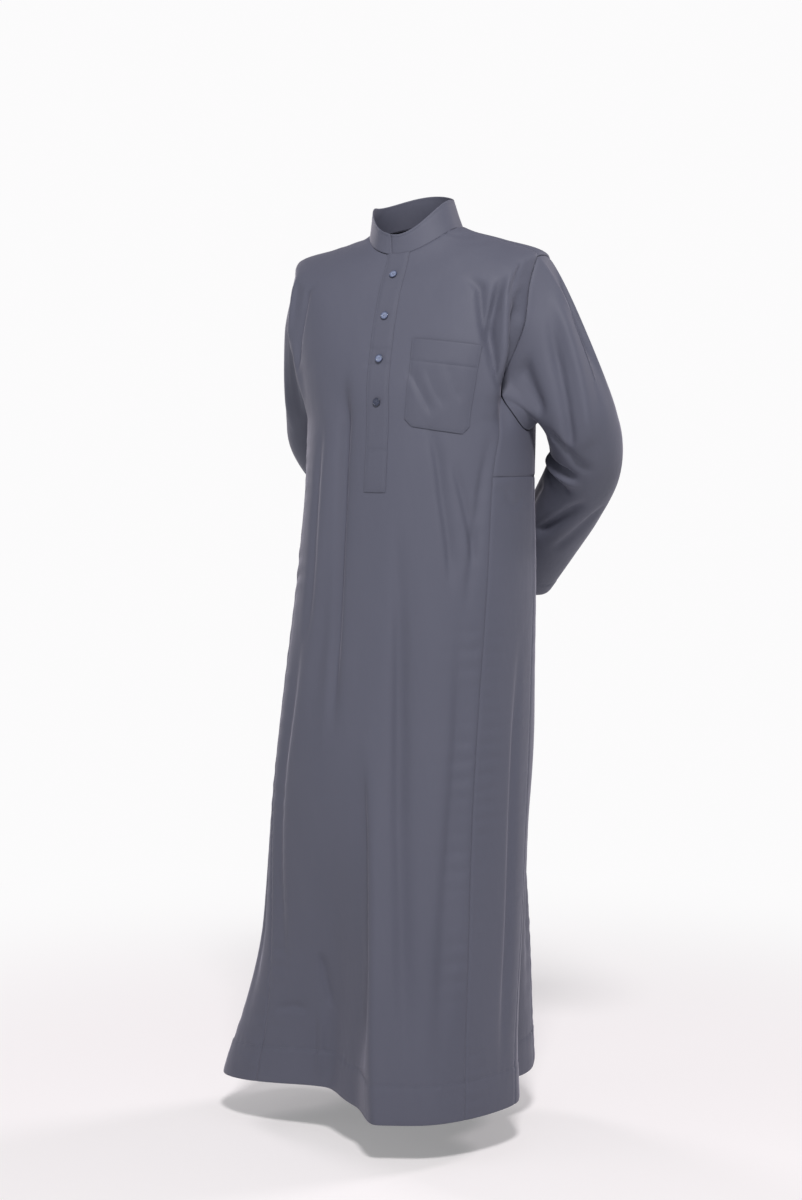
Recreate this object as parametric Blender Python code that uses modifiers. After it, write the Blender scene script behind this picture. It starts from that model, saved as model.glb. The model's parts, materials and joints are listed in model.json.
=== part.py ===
"""A worn, ankle-length thobe in slate blue suiting, as the pieces that a tailor cuts and sews.

Metres, +Z up. The front faces -Y and the garment's own left is +X. The origin is the middle of the neck
opening at shoulder height, where the garment is carried.

The body panels are all cut from one continuous cloth form, cloth(angle, level). The angle, in degrees,
runs round from the front's middle towards the garment's left, and the level is the height of a ring where
it crosses the side, so that rings tip up over the shoulders to the neck.
"""

import bpy
import bmesh
import numpy as np

GARMENT = "thobe_robe"

# Cloth and seams
WALL = 0.0014
PATCH_WALL = 0.0012
SEAM_GAP = 0.0003
ARMHOLE_GAP = 0.0002
NECK_GAP = 0.0006
LAID_GAP = 0.0005
POCKET_GAP = 0.0009
SHARP_ANGLE = 50.0

# Levels where seams meet
HEM = -1.44
PLACKET_END = -0.435
HIP_SEAM = -0.41
ARMHOLE_FOOT = -0.29
SHOULDER = -0.13
NECK = 0.0
ARMHOLE_DIP = 0.045

# Rows and columns of the panels
FRONT_COLUMNS = 22
BACK_COLUMNS = 20
GORE_COLUMNS = 5
SHOULDER_COLUMNS = 3
SKIRT_ROWS = 17
UNDERARM_ROWS = 3
ARMHOLE_ROWS = 6
YOKE_ROWS = 4

# Each ring of the cloth form: its middle, half width, depth to the front and back, and its heights
RING_COLUMNS = ("level", "x", "y", "half_width", "front", "back", "z_front", "z_side", "z_back", "tilt")
RINGS = (
    (-1.44, -0.080, 0.030, 0.262, 0.185, 0.235, -1.442, -1.440, -1.436, 0.0),
    (-1.33, -0.066, 0.026, 0.245, 0.183, 0.222, -1.330, -1.330, -1.330, 0.0),
    (-1.15, -0.050, 0.020, 0.234, 0.180, 0.205, -1.150, -1.150, -1.150, 0.0),
    (-0.95, -0.036, 0.015, 0.223, 0.178, 0.190, -0.950, -0.950, -0.950, 0.0),
    (-0.75, -0.020, 0.012, 0.211, 0.172, 0.175, -0.750, -0.750, -0.750, 0.0),
    (-0.55, -0.002, 0.010, 0.199, 0.168, 0.152, -0.550, -0.550, -0.550, 0.0),
    (-0.41, 0.004, 0.010, 0.192, 0.162, 0.140, -0.410, -0.410, -0.410, 0.0),
    (-0.33, 0.005, 0.012, 0.192, 0.158, 0.138, -0.330, -0.330, -0.330, 0.0),
    (-0.26, 0.003, 0.014, 0.208, 0.156, 0.140, -0.275, -0.235, -0.262, 0.0),
    (-0.19, 0.001, 0.017, 0.222, 0.146, 0.140, -0.218, -0.135, -0.195, 0.0),
    (-0.13, 0.000, 0.020, 0.222, 0.132, 0.125, -0.162, -0.055, -0.122, 0.0),
    (-0.07, 0.000, 0.014, 0.150, 0.106, 0.098, -0.110, -0.030, -0.060, 0.02),
    (-0.03, 0.000, 0.006, 0.102, 0.078, 0.074, -0.074, -0.018, -0.018, 0.04),
    (0.00, 0.000, 0.000, 0.078, 0.062, 0.062, -0.050, -0.010, 0.006, 0.05),
)
SQUARENESS = 2.25

# Large folds: a ridge has a height above the form and a trough one below it. The fold's line slants from
# angle_low to angle_high, and it fades over fade_low and fade_high at its ends. lift raises the hem there.
FOLD_COLUMNS = (
    "low", "high", "fade_low", "fade_high", "angle_low", "angle_high", "before", "after", "height", "lift",
)
FOLDS = {
    "left knee ridge": (-1.50, -0.78, 0.02, 0.64, 21, 6, 6, 34, 0.064, -0.004),
    "right front recess": (-1.50, -0.85, 0.02, 0.58, -15, -14, 38, 21, -0.072, 0.012),
    "front centre trough": (-0.90, -0.20, 0.25, 0.12, -25, -21, 7, 7, -0.008, 0.0),
    "left front trough": (-1.50, -0.50, 0.02, 0.30, 27, 18, 6, 8, -0.007, 0.0),
    "right side flare": (-1.50, -1.16, 0.02, 0.28, -82, -80, 20, 24, 0.034, -0.004),
    "left side trough": (-1.50, -0.80, 0.02, 0.60, 109, 116, 14, 18, -0.046, 0.010),
    "left back fold": (-1.50, -0.80, 0.02, 0.60, 155, 152, 21, 24, 0.045, 0.026),
    "back centre trough": (-1.50, -0.62, 0.02, 0.40, 184, 180, 16, 14, -0.030, 0.004),
    "right back fold": (-1.50, -0.75, 0.02, 0.55, 222, 214, 16, 20, 0.030, 0.0),
    "right back trough": (-1.50, -0.95, 0.02, 0.40, 248, 244, 11, 11, -0.016, 0.0),
    "left armpit ridge": (-0.32, -0.06, 0.08, 0.12, 56, 57, 5, 6, 0.010, 0.0),
    "left armpit hollow": (-0.35, -0.20, 0.06, 0.06, 66, 68, 5, 8, -0.016, 0.0),
    "right armpit ridge": (-0.32, -0.08, 0.08, 0.12, -56, -57, 5, 4, 0.008, 0.0),
    "right armpit hollow": (-0.35, -0.20, 0.06, 0.06, -67, -67, 8, 5, -0.012, 0.0),
    "left shoulder blade fold": (-0.40, -0.10, 0.10, 0.12, 128, 122, 6, 6, -0.010, 0.0),
    "right shoulder blade fold": (-0.40, -0.10, 0.10, 0.12, 232, 238, 6, 6, -0.010, 0.0),
}

# Angles of the long seams, and of the armhole and yoke seams above them. The right side mirrors the left.
SEAM_COLUMNS = ("level", "front", "side", "back")
SEAMS = (
    (-1.44, 49, 81, 134),
    (-1.09, 52, 94, 138),
    (-0.72, 56, 101, 140),
    (-0.41, 60, 104, 138),
    (-0.29, 67, 91, 114),
)
ARMHOLE_COLUMNS = ("level", "front", "back")
ARMHOLE = (
    (-0.29, 67, 114),
    (-0.25, 69, 111),
    (-0.21, 70, 109),
    (-0.17, 72, 107),
    (-0.13, 80, 104),
)
YOKE_COLUMNS = ("level", "front")
YOKE = (
    (-0.13, 80),
    (-0.07, 83),
    (0.00, 91),
)

# Sleeves, as x, y, z, across and deep: the middle of each section and its half sizes, across and front to back
LEFT_SLEEVE = {
    "upper arm": (0.272, 0.055, -0.325, 0.058, 0.066),
    "above elbow": (0.270, 0.078, -0.356, 0.059, 0.064),
    "elbow": (0.256, 0.106, -0.392, 0.060, 0.062),
    "below elbow": (0.214, 0.146, -0.446, 0.059, 0.060),
    "forearm": (0.152, 0.190, -0.514, 0.056, 0.055),
    "end": (0.095, 0.222, -0.580, 0.052, 0.049),
}
RIGHT_SLEEVE = {
    "upper arm": (0.238, 0.102, -0.312, 0.056, 0.064),
    "above elbow": (0.242, 0.114, -0.342, 0.056, 0.062),
    "elbow": (0.232, 0.134, -0.377, 0.056, 0.059),
    "below elbow": (0.190, 0.170, -0.428, 0.055, 0.056),
    "forearm": (0.122, 0.206, -0.488, 0.053, 0.053),
    "end": (0.052, 0.240, -0.545, 0.052, 0.049),
}
CAP_LENGTH = 0.20
CAP_ROWS = 6
ARM_ROWS = 11
CAP_PULL_TOP = 0.76
CAP_PULL_UNDER = 0.46
CAP_END_PULL = 0.85
CAP_LEAN_TOP = 0.10
CAP_LEAN_UNDER = 0.80

# Creases of a sleeve: how far along, the angle round it from its outer side, the spread each way, the height
CREASE_COLUMNS = ("along", "turn", "reach", "spread", "height")
LEFT_CREASES = {
    "cap fold": (0.12, 40, 0.060, 16, 0.006),
    "elbow hollow": (0.262, 250, 0.012, 60, -0.008),
    "elbow ridge": (0.288, 255, 0.010, 60, 0.006),
    "forearm hollow": (0.318, 240, 0.012, 55, -0.007),
    "front flat": (0.30, 90, 0.10, 26, -0.005),
}
RIGHT_CREASES = {
    "cap fold": (0.12, 45, 0.060, 16, 0.005),
    "elbow hollow": (0.258, 250, 0.012, 60, -0.007),
    "elbow ridge": (0.282, 255, 0.010, 60, 0.005),
    "front flat": (0.28, 90, 0.10, 26, -0.005),
}

# Collar: a stand whose left end laps over the right one
COLLAR_COLUMNS = ("x", "y", "half_width", "front", "back", "z_front", "z_side", "z_back", "tilt")
COLLAR_TOP = (-0.004, -0.002, 0.069, 0.060, 0.056, -0.019, 0.034, 0.050, 0.06)
COLLAR_START = -20.0
COLLAR_END = 351.0
COLLAR_LAP = 0.0024
COLLAR_LAP_TURN = 45.0
COLLAR_LAP_EASE = 27.0
COLLAR_COUNT = 50
COLLAR_ROWS = 3

# Placket, buttons and chest pocket
PLACKET_HALF_WIDTH = 0.0195
PLACKET_COUNT = 4
BUTTON_HEIGHTS = (-0.086, -0.153, -0.222, -0.291)
BUTTON_RADIUS = 0.0066
BUTTON_THICK = 0.0026
BUTTON_RIM = 0.0014
BUTTON_DISH = 0.0009
BUTTON_CHAMFER = 0.0005
BUTTON_STEPS = 14
POCKET_ANGLES = (14.0, 45.5)
POCKET_TOP = -0.190
POCKET_BOTTOM = -0.330
POCKET_SLANT = 0.012
POCKET_CLIP = 0.012
POCKET_CLIP_SHARE = 0.22
POCKET_COUNT = 8
POCKET_ROWS = 9

# Finishes: colour, roughness and metallic value
CLOTH_FINISH = ((0.118, 0.130, 0.172), 0.62, 0.0)
PATCH_FINISH = ((0.112, 0.124, 0.166), 0.62, 0.0)
BUTTON_FINISH = ((0.42, 0.48, 0.62), 0.22, 0.0)

STEP_DEGREES = 0.05
STEP_METRES = 0.0005


def column(rows, names, name):
    """One named column of a table, as an array."""
    return np.array([row[names.index(name)] for row in rows], float)


def smooth(place, knots, values):
    """Values between a table's rows: cubic curves whose slope at each row is limited, so none overshoots."""
    span = np.diff(knots)
    rise = np.diff(values) / span
    product = rise[1:] * rise[:-1]
    total = np.where(product > 0, rise[1:] + rise[:-1], 1.0)
    slope = np.concatenate([rise[:1], np.where(product > 0, 2 * product / total, 0.0), rise[-1:]])
    index = np.clip(np.searchsorted(knots, place, side="right") - 1, 0, len(span) - 1)
    part = (place - knots[index]) / span[index]
    start = values[index] + span[index] * slope[index] * part * (1 - part) ** 2
    bend = (values[index + 1] - values[index]) * part**2 * (3 - 2 * part)
    return start + bend - span[index] * slope[index + 1] * part**2 * (1 - part)


def table_at(place, rows, names, name, key="level"):
    """A named column of a table, read smoothly at any place along its key column."""
    return smooth(place, column(rows, names, key), column(rows, names, name))


def soft_step(value):
    """0 below 0, 1 above 1 and an even S between."""
    part = np.clip(value, 0.0, 1.0)
    return part * part * (3 - 2 * part)


def unit(vectors):
    return vectors / np.linalg.norm(vectors, axis=-1, keepdims=True)


def fold_relief(angle, level):
    """How far the large folds stand out from the form, and how far they lift it, at each angle and level."""
    out = np.zeros(np.broadcast(angle, level).shape)
    lift = np.zeros_like(out)
    for row in FOLDS.values():
        fold = dict(zip(FOLD_COLUMNS, row))
        along = np.clip((level - fold["low"]) / (fold["high"] - fold["low"]), 0, 1)
        line = fold["angle_low"] + (fold["angle_high"] - fold["angle_low"]) * along
        aside = (angle - line + 180) % 360 - 180
        width = np.where(aside < 0, fold["before"], fold["after"])
        fade = soft_step((level - fold["low"]) / fold["fade_low"])
        fade = fade * soft_step((fold["high"] - level) / fold["fade_high"])
        shape = np.exp(-((aside / width) ** 2)) * fade
        out = out + fold["height"] * shape
        lift = lift + fold["lift"] * shape
    return out, lift


def cloth(angle, level):
    """Points of the cloth form: a rounded ring at each level, tipped up over the shoulders, with its folds."""
    angle, level = np.broadcast_arrays(np.asarray(angle, float), np.asarray(level, float))
    ring = {name: table_at(level, RINGS, RING_COLUMNS, name) for name in RING_COLUMNS[1:]}
    sine, cosine = np.sin(np.radians(angle)), np.cos(np.radians(angle))
    round_off = (np.abs(sine) ** SQUARENESS + np.abs(cosine) ** SQUARENESS) ** (-1 / SQUARENESS)
    depth = np.where(cosine > 0, ring["front"], ring["back"])
    high = np.where(cosine > 0, ring["z_front"], ring["z_back"])
    out, lift = fold_relief(angle, level)
    x = ring["x"] + sine * (ring["half_width"] * round_off + out)
    y = ring["y"] - cosine * (depth * round_off + out)
    z = ring["z_side"] + (high - ring["z_side"]) * cosine**2 + ring["tilt"] * x + lift
    return np.stack([x, y, z], axis=-1)


def cloth_steps(angle, level):
    """Movement of the form's point for one degree round and for one metre of level."""
    turn = cloth(angle + STEP_DEGREES, level) - cloth(angle - STEP_DEGREES, level)
    rise = cloth(angle, level + STEP_METRES) - cloth(angle, level - STEP_METRES)
    return turn / (2 * STEP_DEGREES), rise / (2 * STEP_METRES)


def cloth_normal(angle, level):
    turn, rise = cloth_steps(angle, level)
    return unit(np.cross(turn, rise))


def level_at(angle, height):
    """The level whose ring has this height at this angle, found by halving the range."""
    low = np.full(np.broadcast(angle, height).shape, HEM)
    high = np.full_like(low, NECK)
    for _ in range(30):
        middle = (low + high) / 2
        below = cloth(angle, middle)[..., 2] < height
        low = np.where(below, middle, low)
        high = np.where(below, high, middle)
    return (low + high) / 2


def trimmed(angle, level, gap):
    """The grid with its four edges drawn in by the gap, measured on the cloth."""
    turn, rise = cloth_steps(angle, level)
    per_degree, per_level = np.linalg.norm(turn, axis=-1), np.linalg.norm(rise, axis=-1)
    angle, level = angle.copy(), level.copy()
    angle[:, 0] += gap / per_degree[:, 0]
    angle[:, -1] -= gap / per_degree[:, -1]
    level[0] += gap / per_level[0]
    level[-1] -= gap / per_level[-1]
    return angle, level


def make_material(name, finish):
    colour, roughness, metallic = finish
    material = bpy.data.materials.new(name)
    material.use_nodes = True
    shader = material.node_tree.nodes["Principled BSDF"]
    shader.inputs["Base Color"].default_value = (*colour, 1.0)
    shader.inputs["Roughness"].default_value = roughness
    shader.inputs["Metallic"].default_value = metallic
    material.diffuse_color = (*colour, 1.0)
    return material


def add_object(name, mesh, finish):
    """Puts a mesh in the garment's collection, under the neck mount's empty, with its own material."""
    piece = bpy.data.objects.new(name, mesh)
    piece.data.materials.append(make_material(name + "_finish", finish))
    bpy.data.collections[GARMENT].objects.link(piece)
    piece.parent = bpy.data.objects["neck_mount"]
    return piece


def layer_faces(rows, columns, closed, start):
    """Triangles of one layer of a grid, all split the same way, so that two layers stay parallel."""
    row = np.arange(rows - 1)[:, None]
    across = np.arange(columns if closed else columns - 1)[None, :]
    after = (across + 1) % columns
    a, b = row * columns + across, row * columns + after
    c, d = b + columns, a + columns
    faces = np.stack([np.stack([a, b, c], -1), np.stack([a, c, d], -1)], axis=2)
    return faces.reshape(-1, 3) + start


def rim_faces(points, edge, beside, count):
    """Triangles across a wall's edge. Each pair is split along the diagonal that lies further into the wall,
    so that a twisted edge never bulges over its seam."""
    o0, o1, i0, i1 = edge[:-1], edge[1:], edge[:-1] + count, edge[1:] + count
    outward = points[edge[:-1]] + points[edge[1:]] - points[beside[:-1]] - points[beside[1:]]
    bulge = ((points[o0] + points[i1] - points[i0] - points[o1]) * outward).sum(axis=1)
    first, second = np.where(bulge < 0, i1, o1), np.where(bulge < 0, o0, i0)
    return np.concatenate([np.stack([o0, i0, first], -1), np.stack([second, i1, o1], -1)])


def wall_mesh(name, outer, inner, closed=False):
    """A closed wall of cloth between two grids of points. A closed grid runs right round, as a tube does."""
    rows, columns = outer.shape[:2]
    count = rows * columns
    index = np.arange(count).reshape(rows, columns)
    faces = [layer_faces(rows, columns, closed, 0), layer_faces(rows, columns, closed, count)[:, ::-1]]
    ring = np.append(np.arange(columns), 0) if closed else np.arange(columns)
    back = ring[::-1]
    edges = [(index[0, ring], index[1, ring]), (index[-1, back], index[-2, back])]
    if not closed:
        edges += [(index[::-1, 0], index[::-1, 1]), (index[:, -1], index[:, -2])]
    points = np.concatenate([outer.reshape(-1, 3), inner.reshape(-1, 3)])
    faces += [rim_faces(points, edge, beside, count) for edge, beside in edges]
    mesh = bpy.data.meshes.new(name)
    mesh.from_pydata(points.tolist(), [], np.concatenate(faces).tolist())
    shape = bmesh.new()
    shape.from_mesh(mesh)
    bmesh.ops.recalc_face_normals(shape, faces=shape.faces)
    shape.to_mesh(mesh)
    shape.free()
    mesh.shade_smooth()
    mesh.set_sharp_from_angle(angle=np.radians(SHARP_ANGLE))
    return mesh


def add_panel(name, angle, level):
    """A panel of the form between seams, its wall inwards from the form along the form's own normals."""
    angle, level = trimmed(angle, level, SEAM_GAP / 2)
    outer = cloth(angle, level)
    inner = outer - cloth_normal(angle, level) * WALL
    return add_object(name, wall_mesh(name, outer, inner), CLOTH_FINISH)


def add_laid_piece(name, angle, level, gap):
    """A piece sewn on a panel: the panel's own points, moved out by the gap, with a wall on top."""
    normal = cloth_normal(angle, level)
    inner = cloth(angle, level) + normal * gap
    return add_object(name, wall_mesh(name, inner + normal * PATCH_WALL, inner), PATCH_FINISH)


def skirt_levels():
    return np.append(np.linspace(HEM, PLACKET_END, SKIRT_ROWS + 1), HIP_SEAM)


def underarm_levels():
    return np.linspace(HIP_SEAM, ARMHOLE_FOOT, UNDERARM_ROWS + 1)


def armhole_levels():
    return np.linspace(ARMHOLE_FOOT, SHOULDER, ARMHOLE_ROWS + 1)


def yoke_levels():
    return np.linspace(SHOULDER, NECK, YOKE_ROWS + 1)


def edge_angles(levels, side):
    """Where the front or the back panel ends at each level: gore seam, then armhole, then the yoke's seam."""
    seam = table_at(levels, SEAMS, SEAM_COLUMNS, side)
    armhole = table_at(levels, ARMHOLE, ARMHOLE_COLUMNS, side)
    edge = np.where(levels < ARMHOLE_FOOT, seam, armhole)
    if side == "front":
        edge = np.where(levels > SHOULDER, table_at(levels, YOKE, YOKE_COLUMNS, "front"), edge)
    return edge


def fan(start, end, count):
    """Columns spread evenly between two edge lines."""
    return start[:, None] + (end - start)[:, None] * np.linspace(0, 1, count + 1)[None, :]


def spread_levels(levels, columns):
    return np.repeat(levels[:, None], columns + 1, axis=1)


def build_front():
    levels = np.concatenate([skirt_levels(), underarm_levels()[1:], armhole_levels()[1:], yoke_levels()[1:]])
    edge = edge_angles(levels, "front")
    add_panel("front", fan(-edge, edge, FRONT_COLUMNS), spread_levels(levels, FRONT_COLUMNS))


def build_back():
    levels = np.concatenate([skirt_levels(), underarm_levels()[1:], armhole_levels()[1:]])
    edge = edge_angles(levels, "back")
    add_panel("back", fan(edge, 360 - edge, BACK_COLUMNS), spread_levels(levels, BACK_COLUMNS))


def build_yoke():
    """Round the back of the neck and over both shoulders. Its lower edge follows the armholes and the back."""
    levels = yoke_levels()
    front = table_at(levels, YOKE, YOKE_COLUMNS, "front")
    corner = table_at(SHOULDER, ARMHOLE, ARMHOLE_COLUMNS, "back")
    neck_corner = front[-1] + (180 - front[-1]) * (corner - front[0]) / (180 - front[0])
    back = corner + (neck_corner - corner) * (levels - SHOULDER) / (NECK - SHOULDER)
    over_left = fan(front, back, SHOULDER_COLUMNS)
    behind = fan(back, 360 - back, BACK_COLUMNS)
    over_right = fan(360 - back, 360 - front, SHOULDER_COLUMNS)
    angle = np.hstack([over_left, behind[:, 1:], over_right[:, 1:]])
    add_panel("yoke", angle, spread_levels(levels, angle.shape[1] - 1))


def add_side_panel(name, angle, level, mirrored):
    """Mirrors a left side panel's angles where it is for the right side."""
    if mirrored:
        angle, level = -angle[:, ::-1], level[:, ::-1]
    add_panel(name, angle, level)


def build_gores(side, mirrored):
    levels = skirt_levels()
    seam = {name: table_at(levels, SEAMS, SEAM_COLUMNS, name) for name in SEAM_COLUMNS[1:]}
    level = spread_levels(levels, GORE_COLUMNS)
    add_side_panel(f"front_gore_{side}", fan(seam["front"], seam["side"], GORE_COLUMNS), level, mirrored)
    add_side_panel(f"back_gore_{side}", fan(seam["side"], seam["back"], GORE_COLUMNS), level, mirrored)


def underarm_grid():
    """Angles and levels of an underarm panel, whose top edge dips under the armhole."""
    levels = underarm_levels()
    seam = {name: table_at(levels, SEAMS, SEAM_COLUMNS, name) for name in SEAM_COLUMNS[1:]}
    before = fan(seam["front"], seam["side"], GORE_COLUMNS)
    after = fan(seam["side"], seam["back"], GORE_COLUMNS)
    angle = np.hstack([before, after[:, 1:]])
    part = (angle[-1] - angle[-1, 0]) / (angle[-1, -1] - angle[-1, 0])
    top = ARMHOLE_FOOT - ARMHOLE_DIP * 4 * part * (1 - part)
    rise = (levels - HIP_SEAM) / (ARMHOLE_FOOT - HIP_SEAM)
    return angle, HIP_SEAM + rise[:, None] * (top - HIP_SEAM)[None, :]


def armhole_loop():
    """Angle and level round the left armhole: over the top to the front, down, under the arm and up again."""
    levels = armhole_levels()
    front = table_at(levels, ARMHOLE, ARMHOLE_COLUMNS, "front")
    back = table_at(levels, ARMHOLE, ARMHOLE_COLUMNS, "back")
    under_angle, under_level = (grid[-1] for grid in underarm_grid())
    top = np.linspace(back[-1], front[-1], SHOULDER_COLUMNS + 1)
    angle = np.concatenate([top, front[::-1][1:], under_angle[1:], back[1:-1]])
    level = np.concatenate([np.full(len(top), SHOULDER), levels[::-1][1:], under_level[1:], levels[1:-1]])
    return angle, level


def into_hole(angle, level):
    """Unit steps, as degrees and levels per metre of cloth, that point into the hole all round its loop."""
    turn, rise = (np.linalg.norm(step, axis=-1) for step in cloth_steps(angle, level))
    along_turn = (np.roll(angle, -1) - np.roll(angle, 1)) * turn
    along_rise = (np.roll(level, -1) - np.roll(level, 1)) * rise
    length = np.hypot(along_turn, along_rise)
    return -along_rise / length / turn, along_turn / length / rise


def curve_through(knots, count):
    """Points, evenly apart, on a smooth curve through rows of values whose first three are x, y and z."""
    steps = np.linalg.norm(np.diff(knots[:, :3], axis=0), axis=1)
    place = np.concatenate([[0.0], np.cumsum(steps)])
    at = np.linspace(0, place[-1], count)
    return np.stack([smooth_free(at, place, knots[:, i]) for i in range(knots.shape[1])], -1), at


def smooth_free(place, knots, values):
    """A cubic curve through the values whose slope at each is that of its two neighbours."""
    slope = np.gradient(values, knots)
    index = np.clip(np.searchsorted(knots, place, side="right") - 1, 0, len(knots) - 2)
    span = (knots[1:] - knots[:-1])[index]
    part = (place - knots[index]) / span
    start = values[index] + span * slope[index] * part * (1 - part) ** 2
    bend = (values[index + 1] - values[index]) * part**2 * (3 - 2 * part)
    return start + bend - span * slope[index + 1] * part**2 * (1 - part)


def sleeve_sections(path, turns):
    """Rings of an arm's path: an ellipse square to it, turned by carrying its outer side along."""
    rows, at = curve_through(np.array(list(path.values())), ARM_ROWS + 1)
    middle = rows[:, :3]
    along = unit(np.gradient(middle, axis=0))
    outward = np.array([1.0, 0.0, 0.0])
    rings = []
    for centre, heading, across, deep in zip(middle, along, rows[:, 3], rows[:, 4]):
        outward = unit(outward - heading * (outward @ heading))
        frontward = np.cross(heading, outward)
        ring = centre + across * np.cos(turns)[:, None] * outward + deep * np.sin(turns)[:, None] * frontward
        rings.append(ring)
    return np.array(rings), along, at


def crease_relief(along, turns, creases):
    out = np.zeros((len(along), len(turns)))
    for row in creases.values():
        crease = dict(zip(CREASE_COLUMNS, row))
        aside = (np.degrees(turns) - crease["turn"] + 180) % 360 - 180
        reach = np.exp(-(((along - crease["along"]) / crease["reach"]) ** 2))
        out += crease["height"] * reach[:, None] * np.exp(-((aside / crease["spread"]) ** 2))[None, :]
    return out


def sleeve_form(path, creases, mirrored):
    """A sleeve's rings from the armhole to its end, and the normals of the cloth form at the armhole."""
    angle, level = armhole_loop()
    turn, rise = into_hole(angle, level)
    if mirrored:
        angle, turn = -angle, -turn
    flip = np.array([-1.0, 1.0, 1.0]) if mirrored else np.ones(3)
    angle, level = angle + turn * ARMHOLE_GAP, level + rise * ARMHOLE_GAP
    start = cloth(angle, level) * flip
    pull = unit(cloth(angle + turn * STEP_METRES, level + rise * STEP_METRES) * flip - start)
    normal = cloth_normal(angle, level) * flip
    sides = np.linalg.norm(np.roll(start, -1, axis=0) - start, axis=1)
    turns = 2 * np.pi * (np.cumsum(sides) - sides) / sides.sum()
    turns = turns - turns[SHOULDER_COLUMNS // 2] - np.pi / len(turns)
    under = (1 - np.cos(turns))[:, None] / 2
    lean = CAP_LEAN_TOP + (CAP_LEAN_UNDER - CAP_LEAN_TOP) * under
    pull = unit(pull + lean * normal) * (CAP_PULL_TOP + (CAP_PULL_UNDER - CAP_PULL_TOP) * under)
    rings, heading, at = sleeve_sections(path, turns)
    chord = np.linalg.norm(rings[0] - start, axis=1)[None, :, None]
    s = np.linspace(0, 1, CAP_ROWS + 1)[:-1, None, None]
    cap = (
        (1 - s) ** 2 * (1 + 2 * s) * start[None]
        + s * (1 - s) ** 2 * chord * pull[None]
        + s**2 * (3 - 2 * s) * rings[0][None]
        - s**2 * (1 - s) * chord * CAP_END_PULL * heading[0]
    )
    grid = np.concatenate([cap, rings])
    along = np.concatenate([CAP_LENGTH * s[:, 0, 0], CAP_LENGTH + at])
    outward = unit(grid - grid.mean(axis=1, keepdims=True))
    hold = soft_step(along / (CAP_LENGTH / 2))[:, None, None]
    grid = grid + outward * hold * crease_relief(along, turns, creases)[..., None]
    return grid * flip, normal * flip


def grid_normals(grid, first):
    """Normals of a tube of rings, with those of its first ring given."""
    round_step = np.roll(grid, -1, axis=1) - np.roll(grid, 1, axis=1)
    along_step = np.gradient(grid, axis=0)
    normal = unit(np.cross(round_step, along_step))
    outward = grid - grid.mean(axis=1, keepdims=True)
    sign = np.sign((normal * outward).sum(axis=-1).sum())
    normal = normal * sign
    normal[0] = first
    return normal


def build_sleeve(side, path, creases, mirrored):
    outer, first = sleeve_form(path, creases, mirrored)
    inner = outer - grid_normals(outer, first) * WALL
    name = f"sleeve_{side}"
    add_object(name, wall_mesh(name, outer, inner, closed=True), CLOTH_FINISH)


def build_collar():
    """A band that stands on the neck seam. Its left end runs out over the right one."""
    angle = np.linspace(COLLAR_START, COLLAR_END, COLLAR_COUNT + 1)
    lap = COLLAR_LAP * soft_step((angle - COLLAR_END + COLLAR_LAP_TURN) / COLLAR_LAP_EASE)
    sine, cosine = np.sin(np.radians(angle)), np.cos(np.radians(angle))
    top = dict(zip(COLLAR_COLUMNS, COLLAR_TOP))
    x = top["x"] + top["half_width"] * sine
    y = top["y"] - np.where(cosine > 0, top["front"], top["back"]) * cosine
    high = np.where(cosine > 0, top["z_front"], top["z_back"])
    z = top["z_side"] + (high - top["z_side"]) * cosine**2 + top["tilt"] * x
    rim = np.stack([x, y, z], axis=-1)
    foot = cloth(angle, NECK) + np.array([0.0, 0.0, LAID_GAP])
    part = np.linspace(0, 1, COLLAR_ROWS + 1)[:, None, None]
    outward = unit(np.stack([sine, -cosine, np.zeros_like(sine)], axis=-1))
    outer = foot + (rim - foot) * part + outward * lap[:, None]
    inner = outer - outward * WALL
    add_object("collar", wall_mesh("collar", outer, inner), CLOTH_FINISH)


def placket_angle(offset, level):
    """The angle that lies this far, in metres, from the front's middle."""
    return np.degrees(offset / table_at(level, RINGS, RING_COLUMNS, "half_width"))


def build_placket():
    levels = np.concatenate([skirt_levels()[-2:], underarm_levels()[1:], armhole_levels()[1:], yoke_levels()[1:]])
    levels[-1] -= NECK_GAP
    offset = np.linspace(-PLACKET_HALF_WIDTH, PLACKET_HALF_WIDTH, PLACKET_COUNT + 1)
    level = spread_levels(levels, PLACKET_COUNT)
    add_laid_piece("placket", placket_angle(offset[None, :], level), level, LAID_GAP)


def build_pocket():
    """A patch with clipped lower corners, hung from a slightly sloping top edge."""
    across = np.linspace(-1, 1, POCKET_COUNT + 1)
    down = np.linspace(0, 1, POCKET_ROWS + 1)[::-1]
    middle, half = np.mean(POCKET_ANGLES), np.ptp(POCKET_ANGLES) / 2
    clip = POCKET_CLIP / (POCKET_TOP - POCKET_BOTTOM)
    narrow = 1 - POCKET_CLIP_SHARE * np.clip((down - (1 - clip)) / clip, 0, 1)
    angle = middle + half * across[None, :] * narrow[:, None]
    height = POCKET_TOP + (POCKET_BOTTOM - POCKET_TOP) * down[:, None] - POCKET_SLANT * (across[None, :] + 1) / 2
    add_laid_piece("chest_pocket", angle, level_at(angle, height), POCKET_GAP)


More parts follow.
